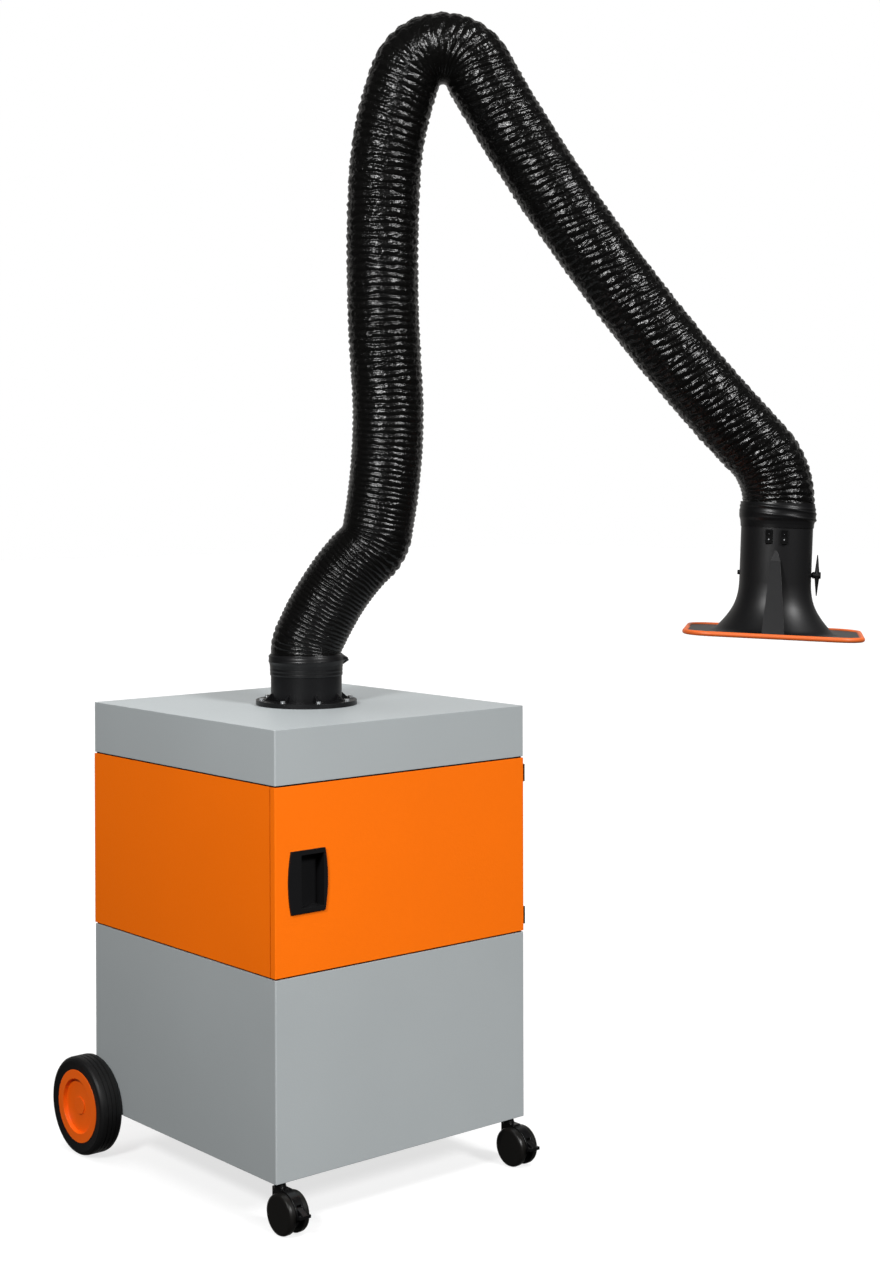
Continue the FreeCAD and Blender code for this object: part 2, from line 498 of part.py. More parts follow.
def castor(name, side):
    x, y = "%d * stem_x" % side, "castor_y"
    at = lambda low, high: ("%s + (%s)" % (x, low), "%s + (%s)" % (x, high))
    mark = lambda text: "castor_%s_%s" % (name, text)
    hub = (x + " - web_w / 2", y, "castor_r")
    band = rod(mark("band"), "castor_r + band_over", hub, "web_w", "x")
    below = box(mark("below"), at("-web_w", "web_w"), (y + " - 2 * castor_r", y + " + 2 * castor_r"),
                ("-castor_r", "castor_r - 2"))
    web = rod(mark("web"), "castor_r - 8", hub, "web_w", "x")
    neck = box(mark("neck"), at("-web_w / 2", "web_w / 2"), (y, "-stem_y + stem_r + 2"),
               ("castor_r + 20", "stem_foot"))
    stem = turned(mark("stem"), [("0", "band_top"), ("stem_r + 2.5", "band_top"),
                                 ("stem_r + 2.5", "stem_foot"), ("stem_r", "floor_gap - 4"),
                                 ("stem_r", "floor_gap + 22"), ("0", "floor_gap + 22")])
    stem.setExpression("Placement.Base.x", formula(x))
    stem.setExpression("Placement.Base.y", formula("-stem_y"))
    slot = box(mark("slot"), at("-web_w / 2 + 4", "web_w / 2 - 4"),
               (y + " - 2 * castor_r", y + " - brake_y + 8"),
               ("castor_r - 10", "castor_r + brake_z + 8"))
    bore = rod(mark("bore"), "5 + run_fit", hub, "web_w", "x")
    pin_hole = rod(mark("pin_hole"), "2 + run_fit", (hub[0], y + " - brake_y", "castor_r + brake_z"),
                   "web_w", "x")
    solid = fuse(mark("solid"), cut(mark("hood"), band, below), web, neck, stem)
    piece("castor_%s_body" % name, cut(mark("body"), solid, slot, bore, pin_hole))
    inner, outer = "web_w / 2 + 0.5", "castor_w / 2"
    half = [("5", inner), ("castor_r", inner), ("castor_r", outer + " - 5"),
            ("castor_r - 1.5", outer + " - 1.5"),
            ("castor_r - 5", outer), ("0", outer)]
    wheels = turned(mark("wheels"), half + [(r, "-(%s)" % h) for r, h in reversed(half)])
    wheels.Placement = FreeCAD.Placement(V(), FreeCAD.Rotation(V(0, 1, 0), 90))
    for letter, low in zip("xyz", (x, y, "castor_r")):
        wheels.setExpression("Placement.Base." + letter, formula(low))
    piece("castor_%s_wheels" % name, wheels)
    pivot = rod(mark("pivot"), "2", (hub[0] + " + side_gap", y + " - brake_y", "castor_r + brake_z"),
                "web_w - 2 * side_gap", "x")
    side_view = [(-4, 4), (4, 4), (26, -7), (26, -13), (17, -13), (10, -8), (-4, -8)]
    arm = padded(mark("arm"), [("%s - brake_y - %d" % (y, ahead), "castor_r + brake_z + %d" % up)
                               for ahead, up in side_view], "web_w - 8 - 2 * side_gap", "YZ_Plane")
    arm.setExpression("Placement.Base.x", formula(x + " - web_w / 2 + 4 + side_gap"))
    lip = box(mark("lip"), at("-pedal_w / 2", "pedal_w / 2"), (y + " - pedal_reach", y + " - castor_r - 7"),
              ("castor_r + brake_z - 13", "castor_r + brake_z - 7"))
    piece("castor_%s_brake" % name, fuse(mark("brake"), pivot, arm, lip))


def arm_foot():
    body = turned("arm_flange", [("collar_bore", "0"), ("flange_r", "0"), ("flange_r", "flange_t"),
                                 ("collar_r", "flange_t"), ("collar_r", "collar_h"),
                                 ("collar_bore", "collar_h")])
    gusset = body.newObject("PartDesign::Pad", "gusset")
    gusset.Profile = polygon(body, "gusset_outline",
                             [("collar_r - 2", "flange_t - 1"), ("gusset_r", "flange_t - 1"),
                                                      ("gusset_r", "flange_t + 2"),
                                                      ("collar_r - 2", "flange_t + gusset_h")])
    gusset.SideType = "Symmetric"
    gusset.setExpression("Length", formula("gusset_t"))
    ring = body.newObject("PartDesign::PolarPattern", "gussets")
    ring.Originals = [gusset]
    ring.Axis = ([f for f in body.Origin.OriginFeatures if f.Role == "Z_Axis"][0], [""])
    ring.Angle = 360
    ring.setExpression("Occurrences", formula("screw_n"))
    body.Tip = ring
    body.Placement = spun(0)
    body.setExpression("Placement.Base.z", formula("cover_top"))
    body.setExpression("Placement.Rotation.Angle", formula("gusset_turn * 1 deg"))
    holes = [rod("flange_hole_%d" % k, "bolt_r + run_fit", ("screw_circle * cos(%g deg)" % a,
             "screw_circle * sin(%g deg)" % a, "cover_top - 1"), "flange_t + 2")
             for k, a in enumerate(screw_spots())]
    piece("arm_flange", cut("arm_flange_drilled", body, *holes))
    screw = turned("flange_screw", [("0", "-flange_t - wall - 8"), ("bolt_r", "-flange_t - wall - 8"),
                                    ("bolt_r", "0"),
                                    ("bolt_r + 2.4", "0"), ("bolt_r + 2.4", "1.2"), ("bolt_r + 1.5", "1.2"),
                                    ("bolt_r + 1.5", "5"), ("0", "5.6")])
    r, z = val("screw_circle"), val("cover_top + flange_t")
    spots = [spun(a, V(r * math.cos(math.radians(a)), r * math.sin(math.radians(a)), z))
             for a in screw_spots()]
    piece("flange_screws", group("flange_screws", screw, spots), len(spots))
    shell = [("sleeve_bore", "collar_h - 32"), ("collar_bore - run_fit", "collar_h - 32"),
             ("collar_bore - run_fit", "collar_h + side_gap"), ("collar_r", "collar_h + side_gap"),
             ("collar_r", "collar_h + 5"), ("collar_r + 1", "collar_h + 6"),
             ("collar_r + 1", "collar_h + 14"),
             ("collar_r", "collar_h + 15"), ("collar_r", "hose_start - side_gap"),
             ("hose_bore - side_gap", "hose_start - side_gap"), ("hose_bore - side_gap", "spigot_top"),
             ("sleeve_bore", "spigot_top")]
    sleeve = turned("swivel_sleeve", shell)
    sleeve.setExpression("Placement.Base.z", formula("cover_top"))
    piece("swivel_sleeve", sleeve)


def arm_place():
    return spun(-val("arm_turn"), V(0, 0, val("cover_top")))


def hose_path():
    """Centre line of the hose in the arm plane: radius of each arc and its turn, clockwise positive."""
    return {"hose_foot": ((90, 22.5), (591, 21.4), (97, -32.6)), "hose_lower": ((1255, -15.1), (3627, 6.6)),
            "hose_elbow": ((740, 18), (84, 129.6)), "hose_upper": ((4315, -13.4),),
            "hose_hood": ((170, 45.3), (4000, 0.3))}


def hose_walk():
    """For each length of hose, its arcs as start point, heading, signed radius and turn."""
    spot, heading, runs = V(0, 0, val("hose_start + cuff_run")), 0.0, {}
    for node, arcs in hose_path().items():
        runs[node] = []
        for radius, turn in arcs:
            run = (spot, heading, math.copysign(radius, turn), math.radians(abs(turn)))
            runs[node].append(run)
            spot, heading = on_arc(run, 1.0)
    return runs, spot, heading


def on_arc(run, part):
    start, heading, radius, turn = run
    bent = heading + math.copysign(turn * part, radius)
    centre = start + V(math.cos(heading), 0, -math.sin(heading)) * radius
    return centre - V(math.cos(bent), 0, -math.sin(bent)) * radius, bent


def hose_ring(spot, heading, radius):
    edge = Part.Circle(V(), V(0, 0, 1), radius).toShape()
    edge.Placement = FreeCAD.Placement(spot, FreeCAD.Rotation(V(0, 1, 0), math.degrees(heading)))
    return Part.Wire(edge)


def hose_length(node, runs):
    crest, valley, bore = val("hose_r"), val("hose_valley"), val("hose_bore")
    outer, inner = [], []
    if node == "hose_foot":
        low, straight = val("hose_start"), val("cuff_run")
        outer = [hose_ring(V(0, 0, low), 0.0, val("collar_r")),
                 hose_ring(V(0, 0, low + straight), 0.0, val("collar_r") - 0.5)]
        inner = [hose_ring(V(0, 0, low - 1), 0.0, bore)]
    for k, run in enumerate(runs):
        length = abs(run[2]) * run[3]
        pitch = val("rib_tight") if abs(run[2]) < val("tight_bend") else val("rib_run")
        ribs = max(1, round(length / pitch))
        for i in range(2 * ribs):
            spot, heading = on_arc(run, i / (2.0 * ribs))
            if k or i or node != "hose_foot":
                outer.append(hose_ring(spot, heading, crest if i % 2 else valley))
            if k or i or node == "hose_foot":
                inner.append(hose_ring(spot, heading, bore))
    spot, heading = on_arc(runs[-1], 1.0 - 0.3 / (abs(runs[-1][2]) * runs[-1][3]))
    outer.append(hose_ring(spot, heading, valley))
    ahead = V(math.sin(heading), 0, math.cos(heading))
    first, turn = on_arc(runs[0], 0.0)
    behind = V(math.sin(turn), 0, math.cos(turn))
    if node != "hose_foot":
        inner.insert(0, hose_ring(first - behind * 2, turn, bore))
    inner.append(hose_ring(spot + ahead * 2, heading, bore))
    return Part.makeLoft(outer, True, True).cut(Part.makeLoft(inner, True, True))


def hoses():
    runs, _, _ = hose_walk()
    for node in runs:
        piece(node, shaped(node, hose_length(node, runs[node]), arm_place()))


def pivots():
    runs, end, heading = hose_walk()
    elbow = runs["hose_elbow"][1]
    reach = abs(elbow[2]) + val("elbow_out")
    spot, bent = on_arc(elbow, 0.405)
    away = V(-math.cos(bent), 0, math.sin(bent))
    crown = spot + away * (reach - abs(elbow[2]))
    foot = V(val("foot_u"), 0, val("foot_z"))
    tip = V(val("tip_u"), 0, val("tip_z"))
    return foot, crown, tip, end + V(math.sin(heading), 0, math.cos(heading)) * val("hood_drop")


def across(spot, radius, low, high):
    return Part.makeCylinder(radius, high - low, V(spot.x, low, spot.z), V(0, 1, 0))


def strap(start, end, radius, low, high):
    along = (end - start).normalize()
    side = V(along.z, 0, -along.x) * radius
    flat = Part.makePolygon([start + side, end + side, end - side, start - side, start + side])
    plate = Part.Face(flat).extrude(V(0, high - low, 0))
    plate.translate(V(0, low, 0))
    return plate.fuse([across(start, radius, low, high), across(end, radius, low, high)])


def fork(start, end, radius, bridge_from, bridge_to):
    low, high = val("fork_in"), val("fork_out")
    along = (end - start).normalize()
    plates = [strap(start, start + along * bridge_to, radius, *span) for span in ((low, high), (-high, -low))]
    block = strap(start + along * (bridge_from + radius), start + along * bridge_to, radius, -high, high)
    keep = strap(start + along * bridge_from, end + along * 90, radius + 1, -high, high)
    bore = across(start, val("bolt_r + run_fit"), -high, high)
    return plates[0].fuse([plates[1], block.common(keep)]).cut(bore)


def bolt_set(node, spot):
    head, reach = 4.5, val("fork_out")
    body = across(spot, val("bolt_r"), -reach - head, reach + head)
    for low in (-reach - head, reach):
        hexagon = [V(spot.x + 6.5 * math.cos(a * math.pi / 3), low, spot.z + 6.5 * math.sin(a * math.pi / 3))
                   for a in range(7)]
        body = body.fuse(Part.Face(Part.makePolygon(hexagon)).extrude(V(0, head, 0)))
    discs = []
    for side in (-1, 1):
        near = val("eye_half + run_fit")
        low, high = sorted((side * near, side * (near + val("disc_t"))))
        disc = across(spot, val("disc_r"), low, high)
        discs.append(disc.cut(across(spot, val("bolt_r + run_fit"), low, high)))
    return piece(node, shaped(node, Part.makeCompound([body] + discs), arm_place()), 3)


def arm_links():
    foot, crown, tip, _ = pivots()
    half, bore = val("eye_half"), val("bolt_r + run_fit")
    along = (crown - foot).normalize()
    bar = Part.makeCylinder(val("link_r"), (crown - foot).Length, foot, along)
    lower = bar.fuse([across(foot, val("fork_r"), -half, half), across(crown, val("elbow_eye"), -half, half)])
    sides = [across(p, 30, s * half + (s - 1) * 10, s * half + (s + 1) * 10)
             for p in (foot, crown) for s in (-1, 1)]
    lower = lower.cut(sides + [across(p, bore, -half, half) for p in (foot, crown)])
    piece("lower_link", shaped("lower_link", lower, arm_place()))
    along = (tip - crown).normalize()
    bar = Part.makeCylinder(val("link_r"), (tip - crown).Length - 40, crown + along * 40, along)
    ends = [across(tip, 30, s * half + (s - 1) * 10, s * half + (s + 1) * 10) for s in (-1, 1)]
    upper = bar.fuse(across(tip, val("fork_r"), -half, half)).cut(ends + [across(tip, bore, -half, half)])
    piece("upper_link", shaped("upper_link", upper.fuse(fork(crown, tip, val("fork_r"), 34, 60)),
                               arm_place()))
    bolt_set("foot_bolt", foot)
    bolt_set("elbow_bolt", crown)
    bolt_set("hood_bolt", tip)


def foot_bracket():
    foot = pivots()[0]
    low, high, bore = val("fork_in"), val("fork_out"), val("sleeve_bore - run_fit")
    base = V(foot.x - 18, 0, val("hose_start") - 4)
    plates = [strap(foot, base, val("fork_r"), *span) for span in ((low, high), (-high, -low))]
    block = Part.makeBox(30, 2 * high, 30, V(42, -high, val("spigot_top") - 34))
    tube = Part.makeCylinder(bore, val("spigot_top"))
    above = Part.makeCylinder(2 * bore, bore, V(0, 0, val("spigot_top")))
    bore = across(foot, val("bolt_r + run_fit"), -high, high)
    solid = block.fuse(plates).common(tube.fuse(above)).cut(bore)
    piece("foot_bracket", shaped("foot_bracket", solid, arm_place()))
    start, width, near = val("hose_start + 2"), val("clip_w"), val("collar_r") + 0.1
    band = Part.makeCylinder(val("clip_r"), width, V(0, 0, start))
    tail = Part.makeCone(val("tail_r"), 1, val("tail_out"), V(near, 0, start), V(1, 0, 0))
    ring = band.fuse(tail).cut(Part.makeCylinder(near, 4 * width, V(0, 0, start - 2 * width)))
    piece("hose_clip_foot", shaped("hose_clip_foot", ring, arm_place()))


def hood_place():
    seam = pivots()[3]
    tilt = FreeCAD.Placement(seam, FreeCAD.Rotation(V(0, 1, 0), val("hood_tip")))
    return arm_place().multiply(tilt)


def hood_joint():
    foot, crown, tip, seam = pivots()
    turn = FreeCAD.Rotation(V(0, 1, 0), val("hood_tip"))
    bar = seam + turn.multVec(V(0, 0, val("cross_z")))
    low, high = val("fork_in"), val("fork_out")
    plates = fork(tip, bar, val("fork_r"), 34, (bar - tip).Length)
    plates = plates.cut(across(bar, val("cross_r + run_fit"), -high, high))
    piece("hood_bracket", shaped("hood_bracket", plates, arm_place()))
    inner = "neck_r - neck_wall - run_fit"
    shell = [(inner + " - 4", "-3"), (inner, "-3"), (inner, "side_gap"), ("cuff_r", "side_gap"),
             ("cuff_r", "cuff_h - 7"), ("bead_r", "cuff_h - 4"), ("cuff_r", "cuff_h"),
             ("hose_bore - side_gap", "cuff_h"), ("hose_bore - side_gap", "cuff_h + 30"),
             (inner + " - 4", "cuff_h + 30")]
    ring = turned("cuff_ring", shell)
    doc.recompute()
    bore = val(inner) - 3
    cross = Part.makeCylinder(val("cross_r"), 2 * bore, V(0, -bore, val("cross_z")), V(0, 1, 0))
    piece("hood_cuff", shaped("hood_cuff", ring.Shape.copy().fuse(cross), hood_place()))


def soft_rectangle(width, depth, corner, z):
    """Rounded rectangle of four lines and four arcs, also used nearly round, so that sections match."""
    w, d, r = width / 2.0, depth / 2.0, min(corner, width / 2.0 - 0.4, depth / 2.0 - 0.4)
    edges = []
    for sx, sy, angle in ((1, 1, 0), (-1, 1, 90), (-1, -1, 180), (1, -1, 270)):
        centre = V(sx * (w - r), sy * (d - r), z)
        spots = [centre + V(math.cos(math.radians(a)), math.sin(math.radians(a)), 0) * r
                 for a in (angle, angle + 45, angle + 90)]
        edges.append(Part.Arc(*spots).toShape())
    lines = [Part.makeLine(a.Vertexes[-1].Point, b.Vertexes[0].Point)
             for a, b in zip(edges, edges[1:] + edges[:1])]
    return Part.Wire([edge for pair in zip(edges, lines) for edge in pair])


def flare(inset, over):
    neck, low = 2 * (val("neck_r") - inset), -val("neck_h")
    wide, deep = val("flare_w") - 2 * inset, val("flare_d") - 2 * inset
    rows = ((neck, neck, low + over), (neck, neck, low),
            (neck + 0.36 * (wide - neck), neck + 0.36 * (deep - neck), low - 0.55 * val("flare_h")),
            (wide, deep, low - val("flare_h")), (wide, deep, low - val("flare_h") - over))
    return Part.makeLoft([soft_rectangle(w, d, w / 2, z) for w, d, z in rows], True, True)


def nose():
    low = -val("neck_h") - val("flare_h")
    wide, reach, step = val("nose_w") / 2, val("nose_reach"), val("nose_step")
    rows = ((-val("nose_top"), 2, val("neck_r") - 0.5), (-step, 10, val("neck_r") + 5), (low, wide, reach))
    wires = [Part.makePolygon([V(-w, -60, z), V(-w, -y, z), V(w, -y, z), V(w, -60, z), V(-w, -60, z)])
             for z, w, y in rows]
    return Part.makeLoft(wires, True, True)


def hood_local(turn=0.0):
    return hood_place().multiply(spun(-val("hood_yaw")))


def hood():
    bore, low = val("neck_r - neck_wall"), -val("neck_h") - val("flare_h")
    neck = Part.makeCylinder(val("neck_r"), val("neck_h"), V(0, 0, -val("neck_h")))
    shell = neck.fuse([flare(0, 0.5), nose()])
    plate = Part.Face(soft_rectangle(val("rim_w"), val("rim_d"), val("rim_corner"), low))
    plate = plate.extrude(V(0, 0, -val("plate_t")))
    inside = Part.makeCylinder(bore, val("neck_h") + 1,
                               V(0, 0, -val("neck_h"))).fuse(flare(val("neck_wall"), 4))
    lens = Part.makeCylinder(val("lens_r + run_fit"), 14, V(0, -val("lens_y"), low - 4))
    reach = val("neck_r") + 5
    spindle = Part.makeCylinder(val("spindle_r + run_fit"), 2 * reach, V(-reach, 0, -val("damper_z")),
                                V(1, 0, 0))
    slots = [bezel_block(s, val("bezel_w") + 0.1, val("bezel_h") + 0.1, 60, 90) for s in (-1, 1)]
    solid = shell.fuse(plate).cut([inside, lens, spindle] + slots)
    piece("hood_shell", shaped("hood_shell", solid, hood_local()))
    path = soft_rectangle(val("rim_w"), val("rim_d"), val("rim_corner"), low - val("plate_t") / 2)
    start = path.Edges[1].valueAt(path.Edges[1].FirstParameter)
    ring = Part.Wire(Part.Circle(start, path.Edges[1].tangentAt(path.Edges[1].FirstParameter),
                                 val("trim_r")).toShape())
    trim = path.makePipeShell([ring], True, False)
    piece("hood_trim", shaped("hood_trim", trim.cut(solid), hood_local()))


def bezel_block(side, width, height, near, far):
    middle = V(side * val("bezel_x"), 0, -val("bezel_z"))
    return Part.makeBox(width, far - near, height, V(middle.x - width / 2, -far, middle.z - height / 2))


def switches():
    out, wide, tall = val("bezel_out"), val("bezel_w"), val("bezel_h")
    frames = []
    for side in (-1, 1):
        frame = bezel_block(side, wide, tall, 64, out)
        frames.append(frame.cut(bezel_block(side, wide - 3.6, 2 * val("rocker_r") + 0.8, 60, 90)))
    piece("switch_bezels", shaped("switch_bezels", Part.makeCompound(frames), hood_local()), 2)
    for name, side in (("left", -1), ("right", 1)):
        x, pivot, z = side * val("bezel_x"), -out + 2.0, -val("bezel_z")
        half = (wide - 3.6) / 2 - 0.3
        drum = Part.makeCylinder(val("rocker_r"), 2 * half, V(x - half, pivot, z), V(1, 0, 0))
        front = [(8, -20), (-2, -20), (-2, -0.5), (-4.5, 20), (8, 20)]
        spots = [V(x - half, pivot + y, z + h) for y, h in front]
        wedge = Part.Face(Part.makePolygon(spots + spots[:1])).extrude(V(2 * half, 0, 0))
        piece("switch_rocker_" + name, shaped("switch_rocker_" + name, drum.common(wedge), hood_local()))


def damper():
    z, spindle, reach = -val("damper_z"), val("spindle_r"), val("knob_x")
    thick, radius = val("damper_t"), val("damper_r")
    disc = Part.makeCylinder(radius, thick, V(0, -thick / 2, z), V(0, 1, 0))
    tube = Part.makeCylinder(spindle + 3, 120, V(-60, 0, z), V(1, 0, 0))
    bore = Part.makeCylinder(spindle + val("run_fit"), 2 * radius, V(-radius, 0, z), V(1, 0, 0))
    piece("damper_flap", shaped("damper_flap", disc.fuse(tube).cut(bore), hood_local()))
    shaft = Part.makeCylinder(spindle, reach + 80, V(-80, 0, z), V(1, 0, 0))
    tall, wide, tip, deep = val("wing_l") / 2, val("wing_mid") / 2, val("wing_tip") / 2, val("wing_t")
    outline = [(-tip, tall), (tip, tall), (wide, 0), (tip, -tall), (-tip, -tall), (-wide, 0), (-tip, tall)]
    wing = Part.Face(Part.makePolygon([V(reach, y, z + h) for y, h in outline])).extrude(V(deep, 0, 0))
    hub = Part.makeBox(deep + 2, 2 * wide + 2, 2 * wide + 2, V(reach, -wide - 1, z - wide - 1))
    piece("damper_shaft", shaped("damper_shaft", shaft.fuse([hub, wing]), hood_local()))
    low = -val("neck_h") - val("flare_h")
    lens = turned("lens_turn", [("0", "-3"), ("lens_r * 0.6", "-2"), ("lens_r", "0"), ("lens_r", "9"),
                                ("0", "9")])
    doc.recompute()
    place = hood_local().multiply(FreeCAD.Placement(V(0, -val("lens_y"), low - val("plate_t")),
                                                    FreeCAD.Rotation()))
    piece("lamp_lens", shaped("lamp_lens", lens.Shape.copy(), place))


def write_out():
    doc.recompute()
    os.makedirs("parts", exist_ok=True)
    faults = []
    for node, solid, count in PIECES:
        state = [word for word in solid.State if word in ("Invalid", "Error", "Touched")]
        shape = solid.Shape
        if state or shape.isNull() or not shape.isValid() or len(shape.Solids) != count:
            faults.append("%s %s valid %s, %d solids" % (node, state, shape.isValid(), len(shape.Solids)))
    if faults:
        raise RuntimeError("\n".join(faults))
    for node, solid, count in PIECES:
        solid.Shape.exportStep("parts/%s.step" % node)
    print(len(PIECES), "pieces written")


fill_sheet()
lower_housing()
middle_housing()
top_cover()
filter_stack()
filter_pleats()
door()
door_grip()
hinges()
fan_drive()
fan_scroll()
impeller()
back_fittings()
rear_wheels()
castor("left", -1)
castor("right", 1)
arm_foot()
foot_bracket()
hoses()
arm_links()
hood_joint()
hood()
switches()
damper()
write_out()
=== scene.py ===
import bpy, bmesh, math
import numpy as np
from mathutils import Matrix, Vector


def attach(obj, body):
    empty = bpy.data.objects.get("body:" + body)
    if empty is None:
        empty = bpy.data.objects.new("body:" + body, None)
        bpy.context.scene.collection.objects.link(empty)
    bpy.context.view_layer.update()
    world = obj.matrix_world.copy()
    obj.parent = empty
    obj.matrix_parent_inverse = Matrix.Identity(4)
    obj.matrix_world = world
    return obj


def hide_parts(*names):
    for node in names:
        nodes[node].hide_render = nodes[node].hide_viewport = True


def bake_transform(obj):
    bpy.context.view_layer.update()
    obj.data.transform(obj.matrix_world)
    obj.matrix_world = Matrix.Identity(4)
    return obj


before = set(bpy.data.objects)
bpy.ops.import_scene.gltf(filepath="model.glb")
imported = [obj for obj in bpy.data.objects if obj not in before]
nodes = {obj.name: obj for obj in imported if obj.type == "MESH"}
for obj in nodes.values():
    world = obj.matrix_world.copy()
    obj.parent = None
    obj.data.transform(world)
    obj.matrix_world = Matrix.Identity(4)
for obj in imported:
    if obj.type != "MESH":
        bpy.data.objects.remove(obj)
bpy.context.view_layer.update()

# Camera and studio
# The camera stands where the photograph's did, found from the cabinet's edges. Two lamps stand left and
# right of it in a dim room, one hangs above, and the floor and background are white.
scene = bpy.context.scene
scene.view_settings.view_transform = "Standard"
stand = Vector((-2.5718, -3.3607, 1.4377))
right, down = Vector((0.77483, -0.63216, -0.00303)), Vector((-0.00780, -0.00476, -0.99996))
ahead = Vector((0.63212, 0.77482, -0.00862))
camera = bpy.data.objects.new("camera", bpy.data.cameras.new("camera"))
scene.collection.objects.link(camera)
camera.matrix_world = Matrix.Translation(stand) @ Matrix((right, -down, -ahead)).transposed().to_4x4()
camera.data.lens, camera.data.sensor_width = 55.58, 36.0
camera.data.shift_x, camera.data.shift_y = 0.0568, -0.1083
scene.camera = camera

world = bpy.data.worlds.new("studio")
scene.world = world
world.use_nodes = True
sky = world.node_tree
room_light = sky.nodes["Background"]
room_light.inputs["Color"].default_value = (1.0, 0.98, 0.95, 1)
toward_back = sky.nodes.new("ShaderNodeVectorMath")
toward_back.operation = "DOT_PRODUCT"
toward_back.inputs[1].default_value = ahead
sky.links.new(sky.nodes.new("ShaderNodeTexCoord").outputs["Generated"], toward_back.inputs[0])
backdrop = sky.nodes.new("ShaderNodeMapRange")
backdrop.interpolation_type = "SMOOTHSTEP"
for socket, value in (("From Min", 0.45), ("From Max", 0.95), ("To Min", 0.045), ("To Max", 0.5)):
    backdrop.inputs[socket].default_value = value
sky.links.new(toward_back.outputs["Value"], backdrop.inputs["Value"])
sky.links.new(backdrop.outputs["Result"], room_light.inputs["Strength"])
bright = sky.nodes.new("ShaderNodeBackground")
bright.inputs["Color"].default_value = (1, 1, 1, 1)
bright.inputs["Strength"].default_value = 1.0
blend_sky = sky.nodes.new("ShaderNodeMixShader")
sky.links.new(sky.nodes.new("ShaderNodeLightPath").outputs["Is Camera Ray"], blend_sky.inputs["Fac"])
sky.links.new(room_light.outputs[0], blend_sky.inputs[1])
sky.links.new(bright.outputs[0], blend_sky.inputs[2])
sky.links.new(blend_sky.outputs[0], sky.nodes["World Output"].inputs["Surface"])

suns = (("key", (0.111, -0.811, 0.574), 13, 2.58), ("overhead", (0.05, 0.08, 1.0), 60, 1.88))
for name, way, angle, power in suns:
    lamp = bpy.data.lights.new(name, "SUN")
    lamp.energy, lamp.angle = power, math.radians(angle)
    sun = bpy.data.objects.new(name, lamp)
    sun.matrix_world = Vector(way).to_track_quat("Z", "Y").to_matrix().to_4x4()
    sun.visible_glossy = name != "overhead"
    scene.collection.objects.link(sun)
lamp = bpy.data.lights.new("left", "AREA")
lamp.shape, lamp.size, lamp.energy = "DISK", 0.9, 176.0
soft_box = bpy.data.objects.new("left", lamp)
lit_point, toward, distance = Vector((0, 0, 0.9)), Vector((-0.773, -0.391, 0.5)), 4.5
facing = toward.to_track_quat("Z", "Y").to_matrix().to_4x4()
soft_box.matrix_world = Matrix.Translation(lit_point + distance * toward) @ facing
scene.collection.objects.link(soft_box)

bpy.ops.mesh.primitive_grid_add(x_subdivisions=4, y_subdivisions=4, size=60)
floor = bpy.context.object
floor.name = "studio_floor"
pale = bpy.data.materials.new("studio_floor")
pale.use_nodes = True
paint = pale.node_tree.nodes["Principled BSDF"].inputs
paint["Base Color"].default_value = (0.32, 0.32, 0.32, 1)
paint["Emission Color"].default_value = (1, 1, 1, 1)
paint["Emission Strength"].default_value = 0.72
paint["Roughness"].default_value = 0.9
floor.data.materials.append(pale)
floor.visible_diffuse = floor.visible_glossy = False


# Housings and door
# Folded sheet steel with a satin polyester coat, which has the fine orange-peel of powder, a little
# colour drift and softened sheet edges.
def finish(name, colour, rough, grain=900.0, depth=0.05, drift=0.04, edge=0.0, metal=0.0, blotch=3.0,
           gloss=0.5):
    """A procedural surface: colour drift and roughness from noise, a fine grain as bump, softened edges."""
    surface = bpy.data.materials.new(name)
    surface.use_nodes = True
    tree, shader = surface.node_tree, surface.node_tree.nodes["Principled BSDF"]
    where = tree.nodes.new("ShaderNodeTexCoord")
    broad = tree.nodes.new("ShaderNodeTexNoise")
    broad.inputs["Scale"].default_value, broad.inputs["Detail"].default_value = blotch, 4.0
    fine = tree.nodes.new("ShaderNodeTexNoise")
    fine.inputs["Scale"].default_value, fine.inputs["Detail"].default_value = grain, 3.0
    for tex in (broad, fine):
        tree.links.new(where.outputs["Object"], tex.inputs["Vector"])
    ramp = tree.nodes.new("ShaderNodeValToRGB")
    for stop, place, factor in zip(ramp.color_ramp.elements, (0.3, 0.7), (1.0 - drift, 1.0 + drift)):
        stop.color = [min(1.0, c * factor) for c in colour] + [1]
        stop.position = place
    tree.links.new(broad.outputs["Fac"], ramp.inputs["Fac"])
    tree.links.new(ramp.outputs["Color"], shader.inputs["Base Color"])
    spread = tree.nodes.new("ShaderNodeMapRange")
    spread.inputs["To Min"].default_value, spread.inputs["To Max"].default_value = rough * 0.85, rough * 1.15
    tree.links.new(fine.outputs["Fac"], spread.inputs["Value"])
    tree.links.new(spread.outputs["Result"], shader.inputs["Roughness"])
    shader.inputs["Metallic"].default_value = metal
    shader.inputs["Specular IOR Level"].default_value = gloss
    bump = tree.nodes.new("ShaderNodeBump")
    bump.inputs["Strength"].default_value, bump.inputs["Distance"].default_value = depth, 0.001
    tree.links.new(fine.outputs["Fac"], bump.inputs["Height"])
    tree.links.new(bump.outputs["Normal"], shader.inputs["Normal"])
    if edge:
        soft = tree.nodes.new("ShaderNodeBevel")
        soft.samples, soft.inputs["Radius"].default_value = 6, edge
        tree.links.new(soft.outputs["Normal"], bump.inputs["Normal"])
    return surface


def dress(surface, *names):
    """Give CAD nodes their finish."""
    for name in names:
        nodes[name].data.materials.clear()
        nodes[name].data.materials.append(surface)


